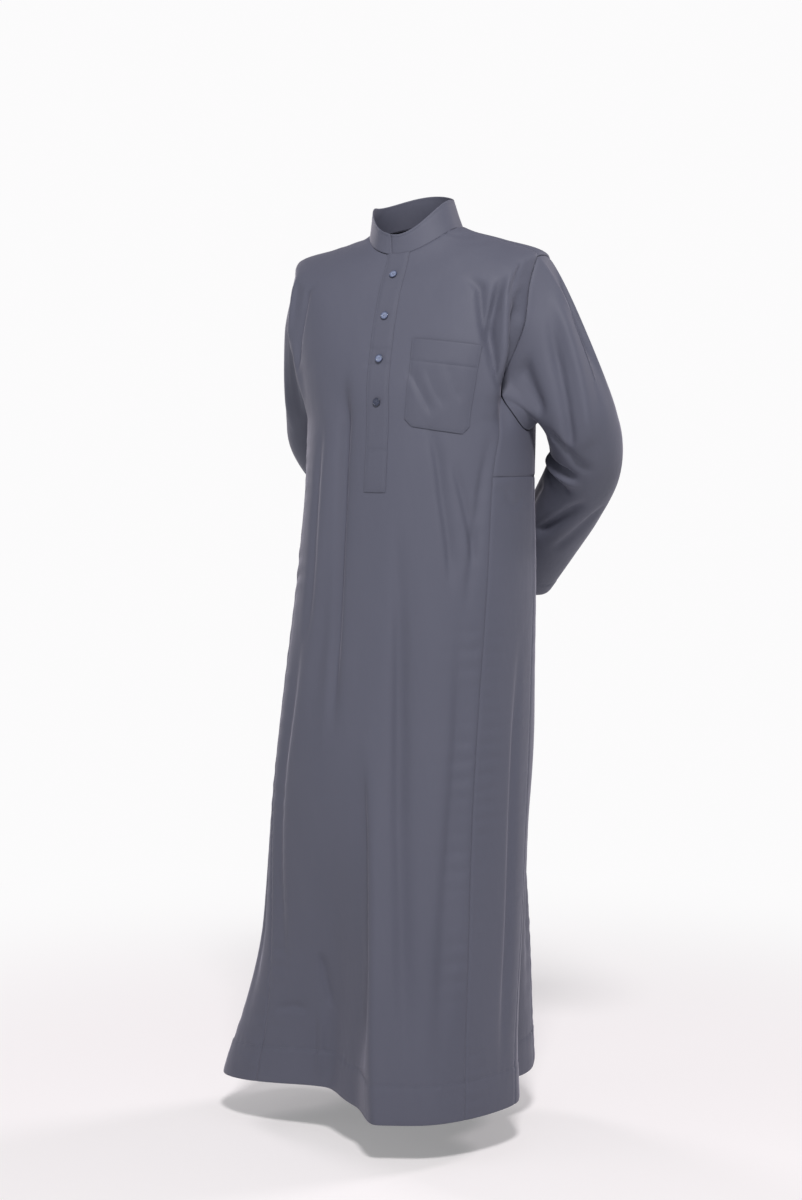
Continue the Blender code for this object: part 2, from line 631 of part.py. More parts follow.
def build_buttons():
    """Turned buttons with a raised rim, each set on the placket and facing the way the cloth does."""
    half, rim = BUTTON_THICK / 2, BUTTON_RADIUS - BUTTON_RIM
    profile = (
        (0.0, half - BUTTON_DISH),
        (rim - BUTTON_CHAMFER, half - BUTTON_DISH),
        (rim, half),
        (BUTTON_RADIUS - BUTTON_CHAMFER, half),
        (BUTTON_RADIUS, half - 2 * BUTTON_CHAMFER),
        (BUTTON_RADIUS - 2 * BUTTON_CHAMFER, -half),
        (0.0, -half),
    )
    stack = LAID_GAP + PATCH_WALL + SEAM_GAP + half
    for number, height in enumerate(BUTTON_HEIGHTS, start=1):
        name = f"button_{number}"
        mesh = bpy.data.meshes.new(name)
        edges = [(i, i + 1) for i in range(len(profile) - 1)]
        mesh.from_pydata([(x, 0.0, z) for x, z in profile], edges, [])
        button = add_object(name, mesh, BUTTON_FINISH)
        screw = button.modifiers.new("turned", "SCREW")
        screw.axis = "Z"
        screw.steps = screw.render_steps = BUTTON_STEPS
        screw.use_merge_vertices = True
        screw.merge_threshold = 1e-5
        level = level_at(np.array(0.0), np.array(height))
        normal = cloth_normal(0.0, level)
        button.location = cloth(0.0, level) + normal * stack
        button.rotation_mode = "QUATERNION"
        button.rotation_quaternion = to_quaternion(normal)


def to_quaternion(normal):
    """The turn that brings a piece's own +Z to this direction."""
    half_way = unit(normal + np.array([0.0, 0.0, 1.0]))
    axis = np.cross([0.0, 0.0, 1.0], half_way)
    return (half_way[2], *axis)


def clear_scene():
    for piece in list(bpy.data.objects):
        bpy.data.objects.remove(piece)
    collection = bpy.data.collections.new(GARMENT)
    bpy.context.scene.collection.children.link(collection)
    mount = bpy.data.objects.new("neck_mount", None)
    collection.objects.link(mount)


def build_garment():
    clear_scene()
    build_front()
    build_back()
    build_yoke()
    for side, mirrored in (("left", False), ("right", True)):
        build_gores(side, mirrored)
        add_side_panel(f"underarm_{side}", *underarm_grid(), mirrored)
    build_sleeve("left", LEFT_SLEEVE, LEFT_CREASES, mirrored=False)
    build_sleeve("right", RIGHT_SLEEVE, RIGHT_CREASES, mirrored=True)
    build_collar()
    build_placket()
    build_pocket()
    build_buttons()


build_garment()
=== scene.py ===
# %% [markdown]
# # A worn thobe, cut, draped and sewn in code
#
# A thobe is an ankle-length shirt: a front and a back panel, a yoke over the shoulders, gores that widen the
# skirt, small panels under the arms, set-in sleeves and a stand collar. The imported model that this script
# loads has each of those as a plain solid. Here every one of them is made again as a thin shell of cloth with
# its creases, its seams and its stitching, on the same form, so the looks sit exactly on the solids.

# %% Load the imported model
import json

import bpy
import numpy as np
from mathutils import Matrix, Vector

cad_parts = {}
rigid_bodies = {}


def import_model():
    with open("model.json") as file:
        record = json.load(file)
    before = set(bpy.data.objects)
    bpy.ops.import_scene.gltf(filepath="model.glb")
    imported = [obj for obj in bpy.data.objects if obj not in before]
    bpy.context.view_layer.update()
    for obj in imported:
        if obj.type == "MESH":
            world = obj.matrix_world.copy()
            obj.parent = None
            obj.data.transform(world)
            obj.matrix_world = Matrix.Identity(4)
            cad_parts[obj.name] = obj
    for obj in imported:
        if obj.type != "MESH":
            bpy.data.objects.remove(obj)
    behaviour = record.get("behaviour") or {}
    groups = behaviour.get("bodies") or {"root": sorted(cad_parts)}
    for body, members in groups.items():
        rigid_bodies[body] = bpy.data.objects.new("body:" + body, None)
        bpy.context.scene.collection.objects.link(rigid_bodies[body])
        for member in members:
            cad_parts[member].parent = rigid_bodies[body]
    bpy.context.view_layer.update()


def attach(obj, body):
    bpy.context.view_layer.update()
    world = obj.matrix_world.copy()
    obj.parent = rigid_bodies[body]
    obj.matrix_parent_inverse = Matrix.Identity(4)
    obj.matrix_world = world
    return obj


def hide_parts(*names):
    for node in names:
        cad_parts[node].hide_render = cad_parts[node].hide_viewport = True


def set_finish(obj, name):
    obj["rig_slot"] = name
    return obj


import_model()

# %% [markdown]
# ## The cloth form
#
# A worn robe could be draped with a cloth simulation over a body, but its pose and its main folds are known
# here, so a formula holds them better. Think of a stack of rings from the hem to the neck. Each ring is a
# rounded oval with its own middle, width and depth, and the rings near the shoulders tip up at the sides. A
# point of the cloth then has just two numbers: the angle round the body, from the front's middle towards the
# garment's left, and the level of its ring.

# %% Rings of the form
RING_COLUMNS = ("level", "x", "y", "half_width", "front", "back", "z_front", "z_side", "z_back", "tilt")
RINGS = (
    (-1.44, -0.080, 0.030, 0.262, 0.185, 0.235, -1.442, -1.440, -1.436, 0.0),
    (-1.33, -0.066, 0.026, 0.245, 0.183, 0.222, -1.330, -1.330, -1.330, 0.0),
    (-1.15, -0.050, 0.020, 0.234, 0.180, 0.205, -1.150, -1.150, -1.150, 0.0),
    (-0.95, -0.036, 0.015, 0.223, 0.178, 0.190, -0.950, -0.950, -0.950, 0.0),
    (-0.75, -0.020, 0.012, 0.211, 0.172, 0.175, -0.750, -0.750, -0.750, 0.0),
    (-0.55, -0.002, 0.010, 0.199, 0.168, 0.152, -0.550, -0.550, -0.550, 0.0),
    (-0.41, 0.004, 0.010, 0.192, 0.162, 0.140, -0.410, -0.410, -0.410, 0.0),
    (-0.33, 0.005, 0.012, 0.192, 0.158, 0.138, -0.330, -0.330, -0.330, 0.0),
    (-0.26, 0.003, 0.014, 0.208, 0.156, 0.140, -0.275, -0.235, -0.262, 0.0),
    (-0.19, 0.001, 0.017, 0.222, 0.146, 0.140, -0.218, -0.135, -0.195, 0.0),
    (-0.13, 0.000, 0.020, 0.222, 0.132, 0.125, -0.162, -0.055, -0.122, 0.0),
    (-0.07, 0.000, 0.014, 0.150, 0.106, 0.098, -0.110, -0.030, -0.060, 0.02),
    (-0.03, 0.000, 0.006, 0.102, 0.078, 0.074, -0.074, -0.018, -0.018, 0.04),
    (0.00, 0.000, 0.000, 0.078, 0.062, 0.062, -0.050, -0.010, 0.006, 0.05),
)
SQUARENESS = 2.25
WALL = 0.0014
PATCH_WALL = 0.0012
SEAM_GAP = 0.0003
ARMHOLE_GAP = 0.0002
NECK_GAP = 0.0006
LAID_GAP = 0.0005
POCKET_GAP = 0.0009
HEM = -1.44
PLACKET_END = -0.435
HIP_SEAM = -0.41
ARMHOLE_FOOT = -0.29
SHOULDER = -0.13
NECK = 0.0
ARMHOLE_DIP = 0.045


def column(rows, names, name):
    """One named column of a table, as an array."""
    return np.array([row[names.index(name)] for row in rows], float)


def smooth(place, knots, values):
    """Cubic curves between a table's rows. The slope at each row is the harmonic mean of the two slopes
    beside it, or zero at a peak, so that the curve never overshoots the table."""
    span = np.diff(knots)
    rise = np.diff(values) / span
    product = rise[1:] * rise[:-1]
    total = np.where(product > 0, rise[1:] + rise[:-1], 1.0)
    slope = np.concatenate([rise[:1], np.where(product > 0, 2 * product / total, 0.0), rise[-1:]])
    index = np.clip(np.searchsorted(knots, place, side="right") - 1, 0, len(span) - 1)
    part = (place - knots[index]) / span[index]
    start = values[index] + span[index] * slope[index] * part * (1 - part) ** 2
    bend = (values[index + 1] - values[index]) * part**2 * (3 - 2 * part)
    return start + bend - span[index] * slope[index + 1] * part**2 * (1 - part)


def table_at(place, rows, names, name, key="level"):
    """A named column of a table, read smoothly at any place along its key column."""
    return smooth(place, column(rows, names, key), column(rows, names, name))


def soft_step(value):
    """An even S: three times the square less twice the cube, held to 0 below 0 and to 1 above 1."""
    part = np.clip(value, 0.0, 1.0)
    return part * part * (3 - 2 * part)


def unit(vectors):
    """Each vector divided by its length."""
    return vectors / np.maximum(np.linalg.norm(vectors, axis=-1, keepdims=True), 1e-12)


print("Rings:", len(RINGS))

# %% [markdown]
# ## Large folds
#
# Below the hip the cloth hangs free. One knee pushes the front out into a long ridge whose flank is steep on
# one side, and the cloth falls back into a recess beside it. Each fold here is a bell curve round the body,
# wider on one side than on the other, whose line slants with height and which fades out at its ends.

# %% Table of large folds
FOLD_COLUMNS = (
    "low", "high", "fade_low", "fade_high", "angle_low", "angle_high", "before", "after", "height", "lift",
)
FOLDS = {
    "left knee ridge": (-1.50, -0.78, 0.02, 0.64, 21, 6, 6, 34, 0.064, -0.004),
    "right front recess": (-1.50, -0.85, 0.02, 0.58, -15, -14, 38, 21, -0.072, 0.012),
    "front centre trough": (-0.90, -0.20, 0.25, 0.12, -25, -21, 7, 7, -0.008, 0.0),
    "left front trough": (-1.50, -0.50, 0.02, 0.30, 27, 18, 6, 8, -0.007, 0.0),
    "right side flare": (-1.50, -1.16, 0.02, 0.28, -82, -80, 20, 24, 0.034, -0.004),
    "left side trough": (-1.50, -0.80, 0.02, 0.60, 109, 116, 14, 18, -0.046, 0.010),
    "left back fold": (-1.50, -0.80, 0.02, 0.60, 155, 152, 21, 24, 0.045, 0.026),
    "back centre trough": (-1.50, -0.62, 0.02, 0.40, 184, 180, 16, 14, -0.030, 0.004),
    "right back fold": (-1.50, -0.75, 0.02, 0.55, 222, 214, 16, 20, 0.030, 0.0),
    "right back trough": (-1.50, -0.95, 0.02, 0.40, 248, 244, 11, 11, -0.016, 0.0),
    "left armpit ridge": (-0.32, -0.06, 0.08, 0.12, 56, 57, 5, 6, 0.010, 0.0),
    "left armpit hollow": (-0.35, -0.20, 0.06, 0.06, 66, 68, 5, 8, -0.016, 0.0),
    "right armpit ridge": (-0.32, -0.08, 0.08, 0.12, -56, -57, 5, 4, 0.008, 0.0),
    "right armpit hollow": (-0.35, -0.20, 0.06, 0.06, -67, -67, 8, 5, -0.012, 0.0),
    "left shoulder blade fold": (-0.40, -0.10, 0.10, 0.12, 128, 122, 6, 6, -0.010, 0.0),
    "right shoulder blade fold": (-0.40, -0.10, 0.10, 0.12, 232, 238, 6, 6, -0.010, 0.0),
}


def fold_relief(angle, level):
    """Sum of the folds. Each is its height times a bell curve of the angle from its line, times a soft step
    up from its low end and another down to its high end. The second result is how far it lifts the ring."""
    out = np.zeros(np.broadcast(angle, level).shape)
    lift = np.zeros_like(out)
    for row in FOLDS.values():
        fold = dict(zip(FOLD_COLUMNS, row))
        along = np.clip((level - fold["low"]) / (fold["high"] - fold["low"]), 0, 1)
        line = fold["angle_low"] + (fold["angle_high"] - fold["angle_low"]) * along
        aside = (angle - line + 180) % 360 - 180
        width = np.where(aside < 0, fold["before"], fold["after"])
        fade = soft_step((level - fold["low"]) / fold["fade_low"])
        fade = fade * soft_step((fold["high"] - level) / fold["fade_high"])
        shape = np.exp(-((aside / width) ** 2)) * fade
        out = out + fold["height"] * shape
        lift = lift + fold["lift"] * shape
    return out, lift


def form(angle, level):
    """Points of the form. Sine and cosine of the angle give the direction, and dividing by the root of the
    sum of their powers rounds the ring into an oval a little squarer than an ellipse."""
    angle, level = np.broadcast_arrays(np.asarray(angle, float), np.asarray(level, float))
    ring = {name: table_at(level, RINGS, RING_COLUMNS, name) for name in RING_COLUMNS[1:]}
    sine, cosine = np.sin(np.radians(angle)), np.cos(np.radians(angle))
    round_off = (np.abs(sine) ** SQUARENESS + np.abs(cosine) ** SQUARENESS) ** (-1 / SQUARENESS)
    depth = np.where(cosine > 0, ring["front"], ring["back"])
    high = np.where(cosine > 0, ring["z_front"], ring["z_back"])
    out, lift = fold_relief(angle, level)
    x = ring["x"] + sine * (ring["half_width"] * round_off + out)
    y = ring["y"] - cosine * (depth * round_off + out)
    z = ring["z_side"] + (high - ring["z_side"]) * cosine**2 + ring["tilt"] * x + lift
    return np.stack([x, y, z], axis=-1)


TURN_STEP = 0.05
LEVEL_STEP = 0.0005


def form_steps(angle, level):
    """Movement of the form's point for one degree round and for one metre of level, from small steps."""
    turn = form(angle + TURN_STEP, level) - form(angle - TURN_STEP, level)
    rise = form(angle, level + LEVEL_STEP) - form(angle, level - LEVEL_STEP)
    return turn / (2 * TURN_STEP), rise / (2 * LEVEL_STEP)


def form_normal(angle, level):
    """The cross product of the two steps, made one long. It points out of the cloth."""
    turn, rise = form_steps(angle, level)
    return unit(np.cross(turn, rise))


print("Large folds:", len(FOLDS))

# %% [markdown]
# ## Creases
#
# Cloth also has small creases: pulls from the armpits, drags under a pocket, soft lines down the skirt. Each
# one is drawn as a few points on the cloth. Its height falls away across that line like a bell curve,
# with a steeper side and a gentler one, because real creases are hardly ever even. A smoothing curve through
# the points keeps the line free of corners.

# %% Crease tables and their relief
DEGREE = 0.0036
CREASE_STEPS = 14
CREASE_END = 0.28
CREASE_REACH = 3.2
CREASE_COLUMNS = ("line", "before", "after", "height")
BODY_CREASES = {
    "trough from the breast": (((-15, -0.19), (-21, -0.34), (-20, -0.50), (-16, -0.68), (-11, -0.86)),
                               0.010, 0.012, -0.0120),
    "band beside the knee": (((11, -0.44), (14, -0.56), (20, -0.86), (25, -1.16), (29, -1.42)),
                             0.009, 0.014, -0.0075),
    "knee flank": (((4, -0.84), (7.5, -1.02), (10.5, -1.18), (12.5, -1.40)), 0.015, 0.007, -0.0110),
    "light beside the flank": (((9.5, -0.88), (13, -1.03), (16, -1.19), (18, -1.40)), 0.006, 0.010, 0.0040),
    "upper hip drag": (((24, -0.31), (30, -0.38), (33, -0.44), (37, -0.52), (39, -0.60)),
                       0.006, 0.014, -0.0070),
    "lower hip drag": (((37, -0.38), (43, -0.44), (48, -0.51), (50, -0.56)), 0.005, 0.012, -0.0055),
    "kick above the hem": (((-21, -1.20), (-19, -1.25), (-15, -1.31)), 0.006, 0.014, -0.0055),
    "fall below the kick": (((-21, -1.29), (-20, -1.36), (-19, -1.435)), 0.008, 0.010, 0.0045),
    "line across the right knee": (((-46, -1.315), (-37, -1.306), (-27, -1.310)), 0.006, 0.010, -0.0030),
    "inner armpit pull": (((40, -0.09), (43, -0.15), (46.5, -0.20), (50, -0.232)), 0.006, 0.009, -0.0100),
    "outer armpit pull": (((52, -0.12), (50, -0.16), (48.6, -0.19), (51, -0.23), (56, -0.265), (66, -0.29)),
                          0.006, 0.008, -0.0125),
    "armpit roll": (((57, -0.12), (55, -0.17), (56, -0.22), (61, -0.26)), 0.006, 0.007, 0.0066),
    "armpit hollow": (((60, -0.16), (62, -0.21), (66, -0.26), (73, -0.305)), 0.010, 0.013, -0.0150),
    "armhole drag": (((66, -0.115), (60, -0.145), (54, -0.165)), 0.005, 0.009, -0.0030),
    "right armpit pull": (((-42, -0.10), (-45, -0.16), (-50, -0.22), (-56, -0.262)), 0.009, 0.005, -0.0060),
    "right armpit roll": (((-56, -0.12), (-57, -0.18), (-60, -0.24)), 0.007, 0.006, 0.0045),
    "first pocket drag": (((12.5, -0.212), (16, -0.235), (21, -0.272), (28, -0.318)), 0.005, 0.012, -0.0038),
    "second pocket drag": (((21, -0.216), (24, -0.245), (28, -0.275), (34, -0.304)), 0.005, 0.011, -0.0020),
    "third pocket drag": (((30, -0.218), (33, -0.245), (36, -0.270), (41, -0.296)), 0.005, 0.011, -0.0020),
    "upper placket pinch": (((-8, -0.176), (-1, -0.179), (6, -0.175)), 0.003, 0.004, -0.0014),
    "lower placket pinch": (((-8, -0.204), (0, -0.206), (6, -0.202)), 0.003, 0.004, -0.0016),
    "left waist fall": (((58, -0.33), (54, -0.40), (50, -0.50), (46, -0.64)), 0.008, 0.012, -0.0044),
    "left thigh fall": (((44, -0.60), (45, -0.84), (41, -1.10), (38, -1.40)), 0.011, 0.016, -0.0070),
    "right waist fall": (((-34, -0.30), (-38, -0.42), (-36, -0.56), (-34, -0.72)), 0.012, 0.009, -0.0052),
    "right thigh fall": (((-38, -0.62), (-42, -0.86), (-44, -1.10), (-40, -1.30)), 0.016, 0.011, -0.0064),
    "second right fall": (((-58, -0.52), (-62, -0.80), (-66, -1.10), (-64, -1.38)), 0.013, 0.018, -0.0070),
    "left side fall": (((84, -0.64), (80, -0.90), (76, -1.16), (70, -1.42)), 0.010, 0.014, -0.0071),
    "left hip line": (((66, -0.43), (76, -0.455), (88, -0.44)), 0.006, 0.010, -0.0022),
    "left rear fall": (((124, -0.44), (130, -0.70), (132, -1.00), (130, -1.36)), 0.011, 0.015, -0.0078),
    "first back fall": (((146, -0.36), (150, -0.62), (148, -0.94), (144, -1.38)), 0.012, 0.018, -0.0085),
    "second back fall": (((168, -0.30), (170, -0.56), (174, -0.90), (176, -1.36)), 0.014, 0.012, -0.0071),
    "third back fall": (((196, -0.34), (196, -0.66), (202, -1.00), (206, -1.40)), 0.016, 0.012, -0.0085),
    "fourth back fall": (((214, -0.32), (220, -0.56), (230, -0.94), (236, -1.36)), 0.012, 0.016, -0.0078),
    "small of the back": (((140, -0.395), (165, -0.425), (188, -0.43), (218, -0.40)), 0.010, 0.016, -0.0068),
    "second back line": (((150, -0.345), (176, -0.365), (205, -0.35)), 0.008, 0.013, -0.0048),
    "left blade drag": (((112, -0.16), (126, -0.20), (146, -0.235)), 0.006, 0.011, -0.0061),
    "right blade drag": (((248, -0.16), (234, -0.20), (214, -0.235)), 0.006, 0.011, -0.0061),
    "left blade fall": (((132, -0.18), (138, -0.26), (146, -0.33)), 0.007, 0.010, -0.0054),
    "right blade fall": (((228, -0.18), (222, -0.26), (214, -0.33)), 0.010, 0.007, -0.0054),
    "right side fall": (((258, -0.50), (262, -0.80), (266, -1.10), (270, -1.40)), 0.012, 0.016, -0.0068),
    "yoke ease, left": (((96, -0.03), (100, -0.07), (96, -0.12)), 0.007, 0.009, -0.0018),
    "yoke ease, right": (((-94, -0.03), (-99, -0.07), (-97, -0.12)), 0.009, 0.007, -0.0018),
}


def smooth_free(place, knots, values):
    """Cubic curves through the values. The slope at each is that of the line between its two neighbours."""
    slope = np.gradient(values, knots)
    index = np.clip(np.searchsorted(knots, place, side="right") - 1, 0, len(knots) - 2)
    span = (knots[1:] - knots[:-1])[index]
    part = (place - knots[index]) / span
    start = values[index] + span * slope[index] * part * (1 - part) ** 2
    bend = (values[index + 1] - values[index]) * part**2 * (3 - 2 * part)
    return start + bend - span * slope[index + 1] * part**2 * (1 - part)


def smooth_line(points, count):
    """A curve through a few points, cut into even steps of its length."""
    points = np.asarray(points, float)
    place = np.concatenate([[0.0], np.cumsum(np.linalg.norm(np.diff(points, axis=0), axis=1))])
    at = np.linspace(0, place[-1], count)
    return np.stack([smooth_free(at, place, points[:, i]) for i in range(points.shape[1])], axis=-1)


def line_distance(place, line):
    """Distance from each place to a line of short steps, with the share of the line's length at the nearest
    point. The distance is negative to the right of the line as it runs."""
    nearest = np.full(place.shape[0], np.inf)
    across = np.zeros_like(nearest)
    share = np.zeros_like(nearest)
    steps = np.diff(line, axis=0)
    for number, (start, step) in enumerate(zip(line[:-1], steps)):
        offset = place - start
        part = np.clip(offset @ step / (step @ step), 0, 1)
        gap = np.linalg.norm(offset - part[:, None] * step, axis=1)
        closer = gap < nearest
        side = np.sign(offset[:, 1] * step[0] - offset[:, 0] * step[1])
        nearest = np.where(closer, gap, nearest)
        across = np.where(closer, gap * side, across)
        share = np.where(closer, (number + part) / len(steps), share)
    return across, share


def crease_relief(turn, rise, creases, degree):
    """Sum of the creases: height, times a bell curve of the distance across the line, times a soft step at
    each end of the line. turn is in degrees, and degree is the width of one of them in metres."""
    turn, rise = np.broadcast_arrays(turn, rise)
    out = np.zeros(turn.size)
    for row in creases.values():
        crease = dict(zip(CREASE_COLUMNS, row))
        points = np.array(crease["line"], float)
        middle = points[:, 0].mean()
        turned = (turn.ravel() - middle + 180) % 360 - 180
        place = np.stack([turned * degree, rise.ravel()], axis=-1)
        line = smooth_line((points - (middle, 0)) * (degree, 1), CREASE_STEPS)
        reach = CREASE_REACH * max(crease["before"], crease["after"])
        near = ((place > line.min(axis=0) - reach) & (place < line.max(axis=0) + reach)).all(axis=1)
        across, share = line_distance(place[near], line)
        width = np.where(across < 0, crease["before"], crease["after"])
        ends = soft_step(share / CREASE_END) * soft_step((1 - share) / CREASE_END)
        out[near] += crease["height"] * np.exp(-((across / width) ** 2)) * ends
    return out.reshape(turn.shape)


print("Body creases:", len(BODY_CREASES))

# %% [markdown]
# ## From a pattern piece to a shell
#
# A sewn panel is a sheet with seams on some edges. Its points come from the form on a fine grid of angles and
# levels, packed closer towards the edges. Near a seam the two layers of turned-in cloth pull it into a small
# valley, and thread that is a little tight gathers it into puckers. A second grid, one wall's thickness
# inside, and a strip round the rim close the shell. Solidify could make the wall too; doing it here keeps the
# panels exactly one seam's gap apart.

# %% Grids and walls
SEAM_DEPTH = 0.0011
SEAM_WIDTH = 0.0026
EDGE_STEPS = (0.0, 0.0011, 0.0024, 0.0042, 0.0070)
PUCKER_REACH = 0.020
PUCKER_WAVE = 0.031
PUCKER_HEIGHT = 0.0019
SMALL_PUCKER_WAVE = 0.0125
SMALL_PUCKER_HEIGHT = 0.00035


def surface(angle, level):
    """The form with its creases: each point moved out along the form's normal by the crease relief."""
    angle, level = np.broadcast_arrays(np.asarray(angle, float), np.asarray(level, float))
    relief = crease_relief(angle, level, BODY_CREASES, DEGREE)
    return form(angle, level) + form_normal(angle, level) * relief[..., None]


def surface_normal(angle, level):
    """The cross product of two small steps on the creased surface."""
    turn = surface(angle + TURN_STEP, level) - surface(angle - TURN_STEP, level)
    rise = surface(angle, level + LEVEL_STEP) - surface(angle, level - LEVEL_STEP)
    return unit(np.cross(turn, rise))


def shares(count, width, ends=(True, True)):
    """Even shares from 0 to 1, with closer ones beside each end that is a seam."""
    near = np.array(EDGE_STEPS) / width
    low = near if ends[0] else np.zeros(1)
    high = 1 - near[::-1] if ends[1] else np.ones(1)
    inner = np.linspace(low[-1], high[0], count)
    return np.unique(np.concatenate([low, inner, high]))


def lengths(points, axis):
    """Distance along the grid from its first row or column, summed step by step."""
    steps = np.linalg.norm(np.diff(points, axis=axis), axis=-1)
    start = np.zeros_like(np.take(points[..., 0], [0], axis=axis))
    return np.concatenate([start, np.cumsum(steps, axis=axis)], axis=axis)


def grid_normals(points, closed=False):
    """Cross products of the steps across and along the grid. A closed grid wraps round."""
    if closed:
        across = np.roll(points, -1, axis=1) - np.roll(points, 1, axis=1)
    else:
        across = np.gradient(points, axis=1)
    return unit(np.cross(across, np.gradient(points, axis=0)))


def wave(place, seed):
    """An uneven ripple: three sines whose lengths and starts come from the seed."""
    parts = np.random.default_rng(seed).uniform(0.75, 1.35, (3, 2))
    total = sum(np.sin(2 * np.pi * (place * rate + start * 7)) for rate, start in parts)
    return total / 3


def grid_faces(rows, columns, closed, start):
    """Quads between the neighbouring points of a grid whose first point has the number start."""
    row = np.arange(rows - 1)[:, None]
    across = np.arange(columns if closed else columns - 1)[None, :]
    after = (across + 1) % columns
    a, b = row * columns + across, row * columns + after
    return np.stack([a, b, b + columns, a + columns], axis=-1).reshape(-1, 4) + start


def rim_loop(rows, columns):
    """Numbers of the points right round a grid's edge, in order."""
    index = np.arange(rows * columns).reshape(rows, columns)
    return np.concatenate([index[0, :-1], index[:-1, -1], index[-1, :0:-1], index[:0:-1, 0]])


def rim_faces(loop, count):
    """Quads from the outer grid's edge to the inner one's, whose numbers are higher by count."""
    after = np.roll(loop, -1)
    return np.stack([loop, loop + count, after + count, after], axis=-1)


def new_mesh(name, points, faces, cut=None, girth=0.0):
    """A mesh from arrays, with its flat cut in metres as a UV map, so that a weave can follow the cloth. On
    a tube, the faces that cross from the last column to the first have their cut moved on by the girth."""
    mesh = bpy.data.meshes.new(name)
    mesh.vertices.add(len(points))
    mesh.vertices.foreach_set("co", np.ascontiguousarray(points, np.float32).ravel())
    width = faces.shape[1]
    mesh.loops.add(faces.size)
    mesh.loops.foreach_set("vertex_index", np.ascontiguousarray(faces, np.int32).ravel())
    mesh.polygons.add(len(faces))
    mesh.polygons.foreach_set("loop_start", np.arange(0, faces.size, width, dtype=np.int32))
    if cut is not None:
        flat = cut[faces]
        across = flat[..., 0]
        crossing = np.ptp(across, axis=1, keepdims=True) > girth / 2
        if girth:
            flat[..., 0] = np.where(crossing & (across < girth / 2), across + girth, across)
        layer = mesh.uv_layers.new(name="cut")
        layer.data.foreach_set("uv", np.ascontiguousarray(flat, np.float32).ravel())
    mesh.update(calc_edges=True)
    mesh.validate()
    mesh.shade_smooth()
    return mesh


def add_piece(name, mesh, slot, replaced=()):
    """Puts a finished mesh in the scene, on the garment's one body, with the finish of its slot."""
    piece = bpy.data.objects.new(name, mesh)
    bpy.context.scene.collection.objects.link(piece)
    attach(piece, "root")
    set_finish(piece, slot)
    if replaced:
        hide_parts(*replaced)
    return piece


def shell(name, outer, inner, closed=False):
    """Two grids joined round the rim into one closed wall. The flat cut is the outer grid's lengths."""
    rows, columns = outer.shape[:2]
    count = rows * columns
    faces = [grid_faces(rows, columns, closed, 0), grid_faces(rows, columns, closed, count)[:, ::-1]]
    if closed:
        first = np.arange(columns)
        last = first[::-1] + count - columns
        faces += [rim_faces(first, count), rim_faces(last, count)]
    else:
        faces.append(rim_faces(rim_loop(rows, columns), count))
    cut = np.stack([lengths(outer, 1), lengths(outer, 0)], axis=-1).reshape(-1, 2)
    points = np.concatenate([outer.reshape(-1, 3), inner.reshape(-1, 3)])
    girth = cut[:, 0].max() * columns / (columns - 1) if closed else 0.0
    return new_mesh(name, points, np.concatenate(faces), np.concatenate([cut, cut]), girth)


print("Edge columns at", EDGE_STEPS, "m from a seam")

# %% [markdown]
# ## Cutting the panels
#
# Seams are lines on the form, given as an angle at a few levels. The armholes and the yoke's seams go on
# above them. Every panel is a fan of columns between two of these lines, so neighbours share their seam. The
# hem is a deep turn-up: above its stitch line the cloth is single, and below it two layers stand out a
# little, with a rounded fold at the bottom.

# %% Seam tables and the panel builder
SEAM_COLUMNS = ("level", "front", "side", "back")
SEAMS = (
    (-1.44, 49, 81, 134),
    (-1.09, 52, 94, 138),
    (-0.72, 56, 101, 140),
    (-0.41, 60, 104, 138),
    (-0.29, 67, 91, 114),
)
ARMHOLE_COLUMNS = ("level", "front", "back")
ARMHOLE = (
    (-0.29, 67, 114),
    (-0.25, 69, 111),
    (-0.21, 70, 109),
    (-0.17, 72, 107),
    (-0.13, 80, 104),
)
YOKE_COLUMNS = ("level", "front")
YOKE = (
    (-0.13, 80),
    (-0.07, 83),
    (0.00, 91),
)
ROW_STEP = 0.0046
HEM_DEPTH = 0.062
HEM_STAND = 0.0005
HEM_FOLD = 0.0020
STITCH_SINK = 0.0012
STITCH_WIDTH = 0.0021
SLIT_TOP = -0.444
SLIT_FOOT = -0.612
SLIT_LIP = 0.0022
GATHERS = {
    "front": (1.0, 1.0),
    "front_gore_left": (1.0, 0.5),
    "front_gore_right": (0.5, 1.0),
    "back_gore_left": (0.5, 0.8),
    "back_gore_right": (0.8, 0.5),
    "back": (0.8, 0.8),
}


def edge_angles(levels, side):
    """Where the front or back panel ends: the gore seam, then the armhole, then the yoke's seam."""
    edge = np.where(
        levels < ARMHOLE_FOOT,
        table_at(levels, SEAMS, SEAM_COLUMNS, side),
        table_at(levels, ARMHOLE, ARMHOLE_COLUMNS, side),
    )
    if side == "front":
        edge = np.where(levels > SHOULDER, table_at(levels, YOKE, YOKE_COLUMNS, "front"), edge)
    return edge


def fan(start, end, part):
    """Columns between two edge lines, at the given shares of the way."""
    return start[:, None] + (end - start)[:, None] * part[None, :]


def rows_between(low, high, seams=(True, True)):
    """Levels at even steps, closer beside a seam."""
    count = max(int(round((high - low) / ROW_STEP)), 8)
    return low + (high - low) * shares(count, high - low, seams)


def trimmed(angle, level, gap):
    """The grid with its four edges drawn in by the gap, measured on the cloth."""
    turn, rise = form_steps(angle, level)
    per_degree, per_level = np.linalg.norm(turn, axis=-1), np.linalg.norm(rise, axis=-1)
    angle, level = angle.copy(), level.copy()
    angle[:, 0] += gap / per_degree[:, 0]
    angle[:, -1] -= gap / per_degree[:, -1]
    level[0] += gap / per_level[0]
    level[-1] -= gap / per_level[-1]
    return angle, level


